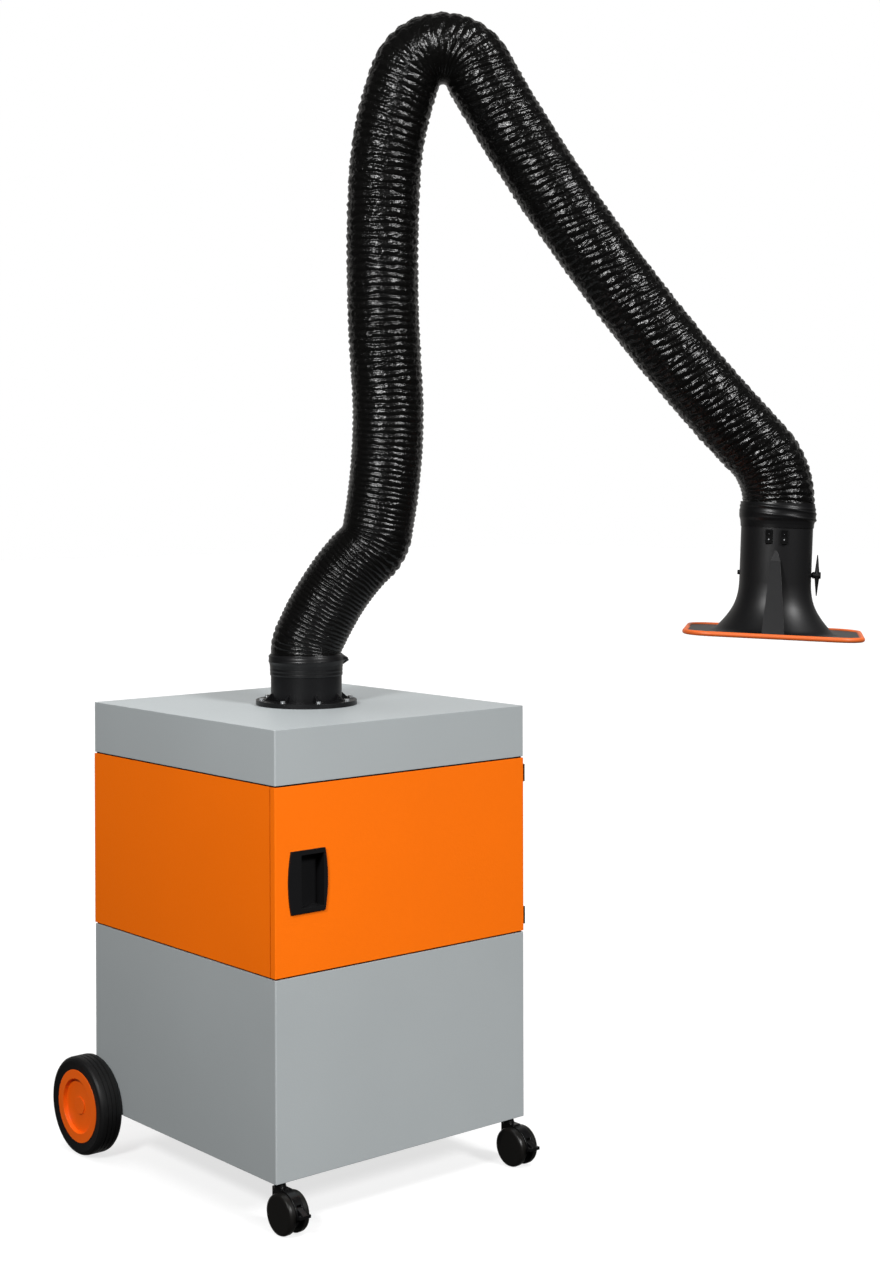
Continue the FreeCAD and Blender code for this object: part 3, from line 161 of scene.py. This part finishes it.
grey = finish("grey_coat", (0.375, 0.402, 0.410), 0.46, grain=300, depth=0.16, drift=0.02, edge=0.0016)
dress(grey, "lower_housing", "top_cover")
orange = finish("orange_coat", (0.93, 0.163, 0.0003), 0.55, grain=240, depth=0.30, drift=0.02, edge=0.0012,
                gloss=0.2)
dress(orange, "middle_housing", "door_panel")


# Seam shade strips
# Near-black strips laid round the cabinet in the two shadow gaps, under the cover and under the middle
# housing, set a little inside the faces: painted shade that darkens the deep gaps.
def grid_mesh(name, points, smooth=True, capped=False):
    """A skin through rows of points, each row closed on itself; capped also closes both ends."""
    rows, cols = points.shape[:2]
    mesh = bpy.data.meshes.new(name)
    index = np.arange(rows * cols).reshape(rows, cols)
    beside = np.roll(index, -1, axis=1)
    faces = np.stack([index[:-1], beside[:-1], beside[1:], index[1:]], axis=-1).reshape(-1, 4)
    ends = [index[0][::-1].tolist(), index[-1].tolist()] if capped else []
    mesh.from_pydata(points.reshape(-1, 3).tolist(), [], faces.tolist() + ends)
    mesh.polygons.foreach_set("use_smooth", [smooth] * len(mesh.polygons))
    thing = bpy.data.objects.new(name, mesh)
    scene.collection.objects.link(thing)
    return thing


# Painted shade: a near-black matt finish that darkens the two seam gaps.
gap_shade = finish("painted_gap_shade", (0.006, 0.006, 0.006), 0.9, grain=1500, depth=0.4, gloss=0.1)
outer, inner = 323.75, 321.5
corners = np.array([(1, 1), (-1, 1), (-1, -1), (1, -1)], float)
for name, low_z, top_z in (("painted_shade_strip_low", 488.3, 491.2), ("painted_shade_strip_high", 857.8, 860.7)):
    section = ((outer, low_z), (outer, top_z), (inner, top_z), (inner, low_z), (outer, low_z))
    loops = [np.column_stack([corners * half, np.full(4, z)]) for half, z in section]
    strip = grid_mesh(name, np.array(loops) / 1000.0, smooth=False)
    strip.data.materials.append(gap_shade)
    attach(strip, "cabinet")

# Filter and fan
# Galvanised sheet for the partition, the cassette, the screen and the fan, pleated fleece held in the
# cassette by a foam gasket, and a painted motor on its stand.
zinc = finish("zinc_sheet", (0.55, 0.56, 0.57), 0.38, grain=60, depth=0.02, drift=0.12, metal=0.9, blotch=40)
dress(zinc, "partition_plate", "filter_frame", "spark_screen", "inlet_cone", "fan_scroll", "fan_stand",
      "impeller")
dress(finish("fleece", (0.80, 0.79, 0.74), 0.9, grain=1400, depth=0.5), "filter_pleats")
dress(finish("motor_coat", (0.05, 0.06, 0.075), 0.45, grain=600, depth=0.1), "fan_motor")
rubber_foam = finish("foam_rubber", (0.018, 0.018, 0.018), 0.8, grain=1500, depth=0.4)
dress(rubber_foam, "filter_gasket")
steel = finish("plated_steel", (0.62, 0.63, 0.64), 0.3, grain=300, depth=0.05, drift=0.06, metal=1.0)
dress(steel, "motor_shaft")

# Door fittings
# A foam seal glued round the door's back, a moulded grip let into its sheet, and black coated hinges.
# Pressed caps cover the hinge leaves and are clipped to the door's edge.
dress(rubber_foam, "door_seal")
plastic = finish("black_plastic", (0.005, 0.005, 0.0056), 0.40, grain=1100, depth=0.12, edge=0.0006,
                 gloss=0.3)
dress(plastic, "door_grip")
black_metal = finish("black_coat", (0.005, 0.005, 0.0055), 0.36, grain=700, depth=0.12, edge=0.0006,
                     gloss=0.2)
dress(black_metal, "hinge_frame_leaves", "hinge_door_leaves")
cap_size, cap_x, cap_y, cap_edge = (4.4, 10.1, 37.0), 329.8, -322.05, 0.0007
for name, low_z in (("hinge_cap_low", 505.0), ("hinge_cap_high", 807.0)):
    plate = bmesh.new()
    bmesh.ops.create_cube(plate, size=1.0)
    for corner in plate.verts:
        x, y, z = (size * part for size, part in zip(cap_size, corner.co))
        corner.co = Vector((cap_x + x, cap_y + y, low_z + cap_size[2] / 2 + z)) / 1000.0
    bmesh.ops.bevel(plate, geom=plate.edges[:], offset=cap_edge, segments=3, profile=0.5, affect="EDGES")
    cap = bpy.data.objects.new(name, bpy.data.meshes.new(name))
    plate.to_mesh(cap.data)
    plate.free()
    scene.collection.objects.link(cap)
    cap.data.materials.append(black_metal)
    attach(cap, "door")

# Back of the cabinet
# A black coated grille screwed over the exhaust opening, and a moulded gland, nutted through the sheet,
# for a mains cord.
dress(black_metal, "exhaust_grille")
dress(plastic, "cord_gland")

# Rear wheels
# Solid rubber tyres pressed on moulded orange rims. They turn on one plated axle through the cabinet's
# foot, and orange caps hold them on its ends.
dress(steel, "rear_axle")
rim_orange = finish("rim_orange", (1.0, 0.135, 0.002), 0.40, grain=500, depth=0.05, edge=0.001)
dress(rim_orange, "rear_rim_left", "rear_rim_right", "axle_caps")
tyre_rubber = finish("tyre_rubber", (0.007, 0.007, 0.0072), 0.5, grain=900, depth=0.2, gloss=0.25)
dress(tyre_rubber, "rear_tyre_left", "rear_tyre_right")

# Front castors
# Swivelling castors on stems under the front corners, each with a glossy moulded hood and a brake pedal
# over a pair of hard black wheels.
castor_black = finish("castor_black", (0.003, 0.003, 0.0032), 0.25, grain=700, depth=0.05, edge=0.0012,
                      gloss=0.6)
dress(castor_black, "castor_left_body", "castor_right_body", "castor_left_brake", "castor_right_brake")
tread = finish("castor_tread", (0.006, 0.0056, 0.005), 0.32, grain=800, depth=0.08, edge=0.0016, gloss=0.5)
dress(tread, "castor_left_wheels", "castor_right_wheels")

# Arm foot
# A black flange screwed to the cover carries the swivel sleeve. The hose's rubber boot is drawn over the
# sleeve in soft bands, and the tail of its clip is pulled out to a point on the arm's side.
dress(black_metal, "arm_flange", "hose_clip_foot")
dress(plastic, "swivel_sleeve")
dress(steel, "flange_screws", "foot_bracket", "foot_bolt")
cover_top, swing = 968.0, math.radians(-39.21)


def rings(profile, step):
    """Heights and radii of a turned skin, sampled evenly between the profile's points."""
    high = np.arange(profile[0][0], profile[-1][0] + step / 2, step)
    return high[:, None], np.interp(high, [p[0] for p in profile], [p[1] for p in profile])[:, None]


def bead(where, at, width):
    """A soft ridge, 1 high on its line: place and width in millimetres, or in radians round a piece."""
    return np.exp(-((where - at) / width) ** 2)


rubber = finish("black_rubber", (0.005, 0.005, 0.0054), 0.34, grain=500, depth=0.10, drift=0.2, gloss=0.3)
boot_profile = [(62.4, 77.3), (66, 78.0), (70, 77.5), (78, 77.8), (86, 78.8), (92, 80.2), (99, 80.4),
                (103, 79.6), (107, 77.0)]
skin_step, skin_columns = 0.9, 180
around = np.linspace(0, 2 * math.pi, skin_columns, endpoint=False)[None, :]
side = np.angle(np.exp(1j * around))
high, reach = rings(boot_profile, skin_step)
reach = reach + 0.5 * bead(high, 74, 2.2) + 0.9 * bead(high, 94 + 2 * np.cos(around), 2.4)
reach = reach + 9.0 * bead(side, 0, 0.14) * bead(high, 98, 5.5)
reach = reach + 1.6 * bead(np.abs(side), math.pi, 0.5) * bead(high, 104, 2.5)
skin = [reach * np.cos(around + swing), reach * np.sin(around + swing), high + cover_top + 0 * around]
boot = grid_mesh("swivel_boot", np.stack(skin, axis=-1) / 1000.0)
boot.data.materials.append(rubber)
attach(boot, "swivel")

# Arm under the hose
# Plated steel links and brackets that carry the hose. Bolts with friction discs pin them to each other, so
# that the arm stays where it is put.
dress(steel, "lower_link", "upper_link", "elbow_bolt", "hood_bracket", "hood_bolt")

# Hose
# One length of coated fabric over a wire coil, clipped at both ends. Between every two turns of wire the
# fabric bulges; it is crumpled across the bulges on the runs and gathered tight over the foot.
vinyl = finish("hose_vinyl", (0.0025, 0.0024, 0.0023), 0.23, grain=900, depth=0.15, drift=0.2, gloss=0.33)
tree = vinyl.node_tree
crinkle = tree.nodes.new("ShaderNodeTexNoise")
crinkle.inputs["Scale"].default_value, crinkle.inputs["Detail"].default_value = 170.0, 2.0
crinkle.inputs["Distortion"].default_value = 0.7
tree.links.new(tree.nodes["Texture Coordinate"].outputs["Object"], crinkle.inputs["Vector"])
fold = tree.nodes.new("ShaderNodeBump")
fold.inputs["Strength"].default_value, fold.inputs["Distance"].default_value = 1.0, 0.0009
tree.links.new(crinkle.outputs["Fac"], fold.inputs["Height"])
tree.links.new(fold.outputs["Normal"], tree.nodes["Bump"].inputs["Normal"])
dull_vinyl = vinyl.copy()
dull_vinyl.name = "hose_vinyl_foot"
dull_vinyl.node_tree.nodes["Principled BSDF"].inputs["Specular IOR Level"].default_value = 0.2

# Its line as arcs of a radius in millimetres and a turn in degrees, then the wire's pitch, the bulge's
# depth and the slant of the turns, each against the distance from the lower clip.
arcs = ((90, 22.5), (591, 21.4), (97, -32.6), (1255, -15.1), (3627, 6.6), (740, 18), (84, 129.6),
        (4315, -13.4), (170, 45.3), (4000, 0.3))
pitch_at = ((0, 9.0), (311, 10.5), (1060, 18.0), (1482, 15.5), (2491, 16.5), (2647, 11.0))
depth_at = ((0, 4.0), (1060, 3.8), (1482, 3.8), (1540, 3.0), (2491, 3.0), (2540, 3.6), (2647, 3.6))
slant_at = ((0, 0.0), (1060, 0.0), (1271, 6.5), (1482, 13.0), (2491, 13.0), (2569, 6.5), (2647, 0.0))
line_start, mean_radius, full_pitch, tight_pitch, loose_pitch = 105.0, 76.0, 17.0, 5.0, 13.0
# Unevenness of the wire and the fabric, in cells of a length along the hose, a width round it and a height.
stray_cells, quiver_cells, wander_cells = (30.0, 70.0, 0.75), (11.0, 24.0, 0.45), (60.0, 95.0, 21.0)
crease_cells, dent_cells = (5.5, 14.0, 3.0), (9.0, 12.0, 3.3)
ripple_cells, lump_cells = (3.6, 7.5, 3.0), (90.0, 160.0, 3.0)
crease_weight, crease_mean, ripple_mean, at_wire = 1.5, 0.35, 0.3, 0.3

fabric = bpy.data.node_groups.new("hose_fabric", "GeometryNodeTree")
for in_out in ("INPUT", "OUTPUT"):
    fabric.interface.new_socket("Geometry", in_out=in_out, socket_type="NodeSocketGeometry")
hose_inputs = []
for label, kind, value in (("Columns", "NodeSocketInt", 152), ("Wire radius", "NodeSocketFloat", 73.4),
                           ("Fullness", "NodeSocketFloat", 0.62), ("Crumple", "NodeSocketFloat", 1.0),
                           ("Lumps", "NodeSocketFloat", 0.7), ("Seed", "NodeSocketFloat", 7.0),
                           ("Fabric", "NodeSocketMaterial", None)):
    socket = fabric.interface.new_socket(label, in_out="INPUT", socket_type=kind)
    hose_inputs.append((socket.identifier, value))


def knit(kind, *feeds, out=0, **settings):
    """A step of the fabric's tree with its settings and first inputs filled; gives one of its outputs."""
    node = fabric.nodes.new(kind)
    for key, value in settings.items():
        setattr(node, key, value)
    for socket, feed in zip(node.inputs, feeds):
        if isinstance(feed, bpy.types.NodeSocket):
            fabric.links.new(feed, socket)
        elif feed is not None:
            socket.default_value = feed
    return node.outputs[out]


def reckon(operation, *feeds):
    """A sum on numbers."""
    return knit("ShaderNodeMath", *feeds, operation=operation)


def reckon_way(operation, *feeds, out=0):
    """A sum on directions or places."""
    return knit("ShaderNodeVectorMath", *feeds, operation=operation, out=out)


def between(value, low, high):
    """The value, kept within two limits."""
    return reckon("MINIMUM", reckon("MAXIMUM", value, low), high)


def noted(name, kind="FLOAT"):
    """A fact that the hose's line carries at each of its points."""
    return knit("GeometryNodeInputNamedAttribute", name, data_type=kind)


given = {socket.name: socket for socket in fabric.nodes.new("NodeGroupInput").outputs}
hoop_radius = reckon("MULTIPLY", given["Wire radius"], 0.001)
hoop = knit("GeometryNodeCurvePrimitiveCircle", given["Columns"], None, None, None, hoop_radius,
            mode="RADIUS")
tube = knit("GeometryNodeCurveToMesh", knit("GeometryNodeMeshToCurve", given["Geometry"]), hoop)
core, inward = noted("core", "FLOAT_VECTOR"), noted("inward", "FLOAT_VECTOR")
sideways = (-math.sin(swing), math.cos(swing), 0.0)
outward = reckon_way("NORMALIZE", reckon_way("SUBTRACT", knit("GeometryNodeInputPosition"), core))
cos_a = reckon_way("DOT_PRODUCT", outward, inward, out=1)
sin_a = reckon_way("DOT_PRODUCT", outward, sideways, out=1)
along, pitch = noted("along"), noted("pitch")


def crumple(length, width, height, where=along):
    """Noise on the unrolled fabric, in cells of this length and width, closed round the hose."""
    spot = knit("ShaderNodeCombineXYZ", reckon("MULTIPLY", cos_a, mean_radius / width),
                reckon("MULTIPLY", sin_a, mean_radius / width), reckon("DIVIDE", where, length))
    noise = knit("ShaderNodeTexNoise", spot, given["Seed"], 1.0, 0.0, noise_dimensions="4D")
    return reckon("MULTIPLY", reckon("SUBTRACT", noise, 0.5), height)


turns = reckon("ADD", noted("turns"), reckon("DIVIDE", reckon("ARCTAN2", sin_a, cos_a), 2 * math.pi))
turns = reckon("ADD", turns, reckon("MULTIPLY", reckon("DIVIDE", noted("slant"), pitch), cos_a))
turns = reckon("ADD", turns, reckon("ADD", crumple(*stray_cells), crumple(*quiver_cells)))
bulge = reckon("ABSOLUTE", reckon("SINE", reckon("MULTIPLY", turns, math.pi)))
bulge = reckon("POWER", bulge, given["Fullness"])
tightness = reckon("MULTIPLY", reckon("MULTIPLY", noted("bend"), mean_radius), cos_a)
room = between(reckon("SUBTRACT", 1.0, tightness), 0.12, 1.8)
room = reckon("DIVIDE", reckon("MULTIPLY", room, pitch), full_pitch)
slack = reckon("DIVIDE", reckon("SUBTRACT", pitch, tight_pitch), loose_pitch - tight_pitch)
slack = between(slack, 0.3, 1.1)
wander = reckon("ADD", along, crumple(*wander_cells))
creases = reckon("SUBTRACT", reckon("ABSOLUTE", crumple(*crease_cells, wander)), crease_mean)
dents = crumple(*dent_cells, wander)
ripples = reckon("SUBTRACT", reckon("ABSOLUTE", crumple(*ripple_cells)), ripple_mean)
folds = reckon("ADD", reckon("ADD", reckon("MULTIPLY", creases, crease_weight), dents), ripples)
folds = reckon("MULTIPLY", folds, reckon("MULTIPLY", slack, between(room, 0.3, 1.0)))
fold_share = reckon("MULTIPLY_ADD", bulge, 1.0 - at_wire, at_wire)
folds = reckon("MULTIPLY", folds, reckon("MULTIPLY", given["Crumple"], fold_share))
reach = reckon("MULTIPLY", reckon("MULTIPLY", noted("depth"), bulge), between(room, 0.2, 1.0))
reach = reckon("ADD", reckon("ADD", given["Wire radius"], reach), folds)
reach = reckon("ADD", reach, reckon("MULTIPLY", crumple(*lump_cells), given["Lumps"]))
reach = reckon("MULTIPLY_ADD", reckon("SUBTRACT", noted("held_at"), reach), noted("held"), reach)
ring = reckon_way("ADD", reckon_way("SCALE", inward, None, None, cos_a),
                  reckon_way("SCALE", sideways, None, None, sin_a))
skin = reckon_way("SCALE", reckon_way("NORMALIZE", ring), None, None, reckon("MULTIPLY", reach, 0.001))
sewn = knit("GeometryNodeSetPosition", tube, None, reckon_way("ADD", core, skin))
sewn = knit("GeometryNodeRealizeInstances", knit("GeometryNodeSetShadeSmooth", sewn))
sewn = knit("GeometryNodeSetMaterial", sewn, None, given["Fabric"])
fabric.links.new(sewn, fabric.nodes.new("NodeGroupOutput").inputs[0])


def on_arm(distance):
    """Middle, in the arm's plane, and heading of the hose at this distance from its lower clip."""
    middle, heading = np.array([0.0, line_start + min(distance, 0.0)]), 0.0
    left = max(distance, 0.0)
    for radius, turn in arcs:
        signed, sweep = math.copysign(radius, turn), min(left / radius, math.radians(abs(turn)))
        hub = middle + np.array([math.cos(heading), -math.sin(heading)]) * signed
        heading += math.copysign(sweep, signed)
        middle = hub - np.array([math.cos(heading), -math.sin(heading)]) * signed
        left -= radius * sweep
    return middle, heading


def in_arm(u, z):
    """From the arm's plane, in millimetres out from the swivel and up from the cover, to the room."""
    return (u * math.cos(swing) / 1000.0, u * math.sin(swing) / 1000.0, (z + cover_top) / 1000.0)


whole = sum(radius * math.radians(abs(turn)) for radius, turn in arcs)
tape_step, tape_over = 0.5, 20.0
tape = np.arange(-tape_over, whole + tape_over, tape_step)
wound = np.cumsum(tape_step / np.interp(tape, *zip(*pitch_at)))
tuck, foot_end, lower_end, elbow_end, upper_end = -13.0, 311.26, 1059.73, 1682.2, 2491.36
lengths = (("hose_foot", tuck, foot_end, 0.9, dull_vinyl),
           ("hose_lower", foot_end, lower_end, 1.7, vinyl),
           ("hose_elbow", lower_end, elbow_end, 1.55, vinyl),
           ("hose_upper", elbow_end, upper_end, 1.75, vinyl),
           ("hose_hood", upper_end, whole, 1.0, vinyl))
foot_radius, cuff_radius, clipped_to, eased, bend_reach, noise_start = 75.9, 74.5, 12.0, 8.0, 20.0, 40.0
hoses = {}
for name, first, last, spacing, cloth in lengths:
    stations = np.linspace(first, last, int((last - first) / spacing) + 1)
    middles, headings = zip(*(on_arm(s) for s in stations))
    spots = [in_arm(*m) for m in middles]
    line = bpy.data.meshes.new(name + "_fabric")
    line.from_pydata(spots, [(i, i + 1) for i in range(len(stations) - 1)], [])
    at_foot = np.clip((clipped_to - stations) / eased, 0, 1)
    at_cuff = np.clip((eased - (whole - stations)) / eased, 0, 1)
    bends = [(on_arm(s + bend_reach)[1] - on_arm(s - bend_reach)[1]) / (2 * bend_reach) for s in stations]
    facts = {
        "along": stations + noise_start, "turns": np.interp(stations, tape, wound),
        "pitch": np.interp(stations, *zip(*pitch_at)), "depth": np.interp(stations, *zip(*depth_at)),
        "slant": np.interp(stations, *zip(*slant_at)), "held": np.maximum(at_foot, at_cuff),
        "held_at": np.where(stations < foot_end, foot_radius, cuff_radius), "bend": bends, "core": spots,
        "inward": [(math.cos(h) * math.cos(swing), math.cos(h) * math.sin(swing), -math.sin(h))
                   for h in headings]}
    for key, values in facts.items():
        kind, field = ("FLOAT_VECTOR", "vector") if key in ("core", "inward") else ("FLOAT", "value")
        attribute = line.attributes.new(key, kind, "POINT")
        attribute.data.foreach_set(field, np.array(values, np.float32).ravel())
    hose = bpy.data.objects.new(name + "_fabric", line)
    scene.collection.objects.link(hose)
    maker = hose.modifiers.new("hose_fabric", "NODES")
    maker.node_group = fabric
    for identifier, value in hose_inputs:
        maker[identifier] = cloth if value is None else value
    made = bpy.data.meshes.new_from_object(hose.evaluated_get(bpy.context.evaluated_depsgraph_get()))
    hose.modifiers.clear()
    hose.data = made
    made.name = name + "_fabric"
    for key in facts:
        made.attributes.remove(made.attributes[key])
    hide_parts(name)
    hoses[name] = hose

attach(hoses["hose_lower"], "lower_arm")
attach(hoses["hose_upper"], "upper_arm")
u, z = on_arm(foot_end)[0]
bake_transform(hoses["hose_foot"])
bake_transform(hoses["hose_elbow"])
near, far = on_arm(upper_end)[0], on_arm(whole)[0]
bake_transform(hoses["hose_hood"])

# Hood joint
# A moulded cuff on the arm's last bracket, with the end of the hose's fabric drawn over it in slanting
# folds.
seam = np.array([0.781499, -0.637602, 1.342838])
hood_lean, hood_yaw = 2.2, -12.0
tip = Matrix.Rotation(swing, 3, "Z") @ Matrix.Rotation(math.radians(hood_lean), 3, "Y")


def in_hood(points, yaw=hood_yaw):
    """From millimetres about the hood's seam to metres in the room."""
    turned = np.array(tip @ Matrix.Rotation(math.radians(yaw), 3, "Z"))
    return seam + np.asarray(points, float) @ turned.T / 1000.0


hood_plastic = finish("hood_plastic", (0.0062, 0.0062, 0.0068), 0.42, grain=800, depth=0.14, edge=0.0008,
                      gloss=0.36)
dress(hood_plastic, "hood_cuff")
cuff_profile = [(1.4, 77.0), (8, 77.3), (15, 78.2), (21, 80.3), (28, 80.6), (34, 79.8), (44, 78.6),
                (54, 77.4)]
high, reach = rings(cuff_profile, skin_step)
right_side = np.clip(np.cos(around), 0, 1) ** 2
reach = reach + (1.0 + 2.6 * right_side) * bead(high, 26 - 9 * np.cos(around), 3.2)
reach = reach + 1.7 * bead(high, 38 - 8 * np.cos(around - 0.4), 2.6)
reach = reach + 1.4 * bead(high, 47 - 6 * np.cos(around + 0.5), 2.3)
skin = np.stack([reach * np.cos(around), reach * np.sin(around), high + 0 * around], axis=-1)
cuff = grid_mesh("hood_cuff_folds", in_hood(skin, yaw=0.0))
cuff.data.materials.append(rubber)
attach(cuff, "hood_joint")

# Hood
# A moulded shell that flares from a round neck to the flange in one smooth trumpet, with orange rubber
# trim pushed over the rim and a lamp behind a clear lens.
dress(hood_plastic, "hood_shell")
dress(finish("trim_rubber", (0.74, 0.135, 0.022), 0.45, grain=600, depth=0.05), "hood_trim")
dress(finish("lamp_glass", (0.75, 0.76, 0.74), 0.12, grain=300, depth=0.02), "lamp_lens")


def oval(wide, deep, z, count=26, flat=0.4):
    """Rounded rectangle of four arcs, as the flare's sections are."""
    corner = min(wide, deep) - flat
    spots = []
    for sx, sy, first_turn in ((1, 1, 0.0), (-1, 1, 0.5), (-1, -1, 1.0), (1, -1, 1.5)):
        for a in (first_turn + np.linspace(0, 0.5, count)) * math.pi:
            x, y = sx * (wide - corner) + corner * math.cos(a), sy * (deep - corner) + corner * math.sin(a)
            spots.append((x, y, z))
    return np.array(spots)


def bend_over(a, b, c, steps):
    """Sections on a smooth bend from a to c, drawn towards b."""
    t = np.linspace(0, 1, steps)[:, None, None]
    return (1 - t) ** 2 * a + 2 * t * (1 - t) * b + t * t * c


neck, neck_foot, waist = oval(75.5, 75.5, -118), oval(75.5, 75.5, -146), oval(93.68, 87.92, -188.35)
skirt, lip = oval(126, 110, -223), oval(133, 117, -223)
upper, lower = (neck_foot + waist) / 2, waist + (skirt - waist) * 0.75
points = np.vstack([bend_over(neck, neck_foot, upper, 16), bend_over(upper, waist, lower, 16)[1:],
                    bend_over(lower, skirt, lip, 10)[1:]])
proud_most, proud_first, proud_step = 0.35, 0.06, 0.05
proud = np.minimum(proud_most, proud_first + proud_step * np.arange(len(points)))[:, None, None]
points[..., :2] *= 1 + proud / np.linalg.norm(points[..., :2], axis=2, keepdims=True)
points[..., 2] += proud[..., 0] * np.linspace(0, 1, len(points))[:, None]
trumpet = grid_mesh("hood_flare", in_hood(points[::-1]))
trumpet.data.materials.append(hood_plastic)
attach(trumpet, "hood")

# Switches
# Two moulded rockers snapped into black bezels on the hood's neck, each with a white dot and a white dash
# printed on it.
switch_black = finish("switch_black", (0.0035, 0.0035, 0.0038), 0.3, grain=900, depth=0.04, gloss=0.3)
dress(switch_black, "switch_bezels", "switch_rocker_left", "switch_rocker_right")
white = finish("mark_white", (0.34, 0.35, 0.36), 0.5, grain=600, depth=0.03)
round_sides, crown = 20, 0.15
turn_by = np.linspace(0, 2 * math.pi, round_sides, endpoint=False)
for name, x in (("left", -16.0), ("right", 16.0)):
    for mark, wide, tall, front, z in (("dot", 1.5, 1.5, -78.62, -24.6), ("dash", 0.35, 1.0, -79.45, -12.8)):
        disc = []
        for k in (1.0, 0.9, 0.5, 0.05):
            disc.append(np.column_stack([x + k * wide * np.cos(turn_by),
                                         np.full(round_sides, front - crown * (1 - k)),
                                         z + k * tall * np.sin(turn_by)]))
        spot_mark = grid_mesh("switch_%s_%s" % (mark, name), in_hood(np.array(disc)), capped=True)
        spot_mark.data.materials.append(white)
        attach(spot_mark, "rocker_" + name)

# Damper
# A moulded flap in the hood's neck on a turned spindle through both walls, with a tapered wing on its
# right end to turn it by hand.
dress(plastic, "damper_flap", "damper_shaft")
spindle_z, wing_x, wing_reach, wing_rows = -99, 87, 44, 41
(tip_thick, tip_wide), (swell_thick, swell_wide) = (1.0, 1.6), (4.6, 5.2)
turned_bar = [(-80, 0.1), (-80, 4.4), (-79.4, 5), (77, 5), (77, 6.6), (78, 7.2), (94, 7.2), (95, 6.4),
              (95, 0.1)]
bar = [np.column_stack([np.full(round_sides, x), r * np.cos(turn_by), spindle_z + r * np.sin(turn_by)])
       for x, r in turned_bar]
shaft = grid_mesh("damper_spindle", in_hood(np.array(bar)), smooth=False, capped=True)
blade = []
for height in np.linspace(-wing_reach, wing_reach, wing_rows):
    taper = 1 - abs(height) / wing_reach
    blade.append(np.column_stack([wing_x + (tip_thick + swell_thick * taper) * np.cos(turn_by),
                                  (tip_wide + swell_wide * taper) * np.sin(turn_by),
                                  np.full(round_sides, spindle_z + height)]))
wing = grid_mesh("damper_wing", in_hood(np.array(blade)), capped=True)
for thing in (shaft, wing):
    thing.data.materials.append(plastic)
    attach(thing, "damper")
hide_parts("damper_shaft")
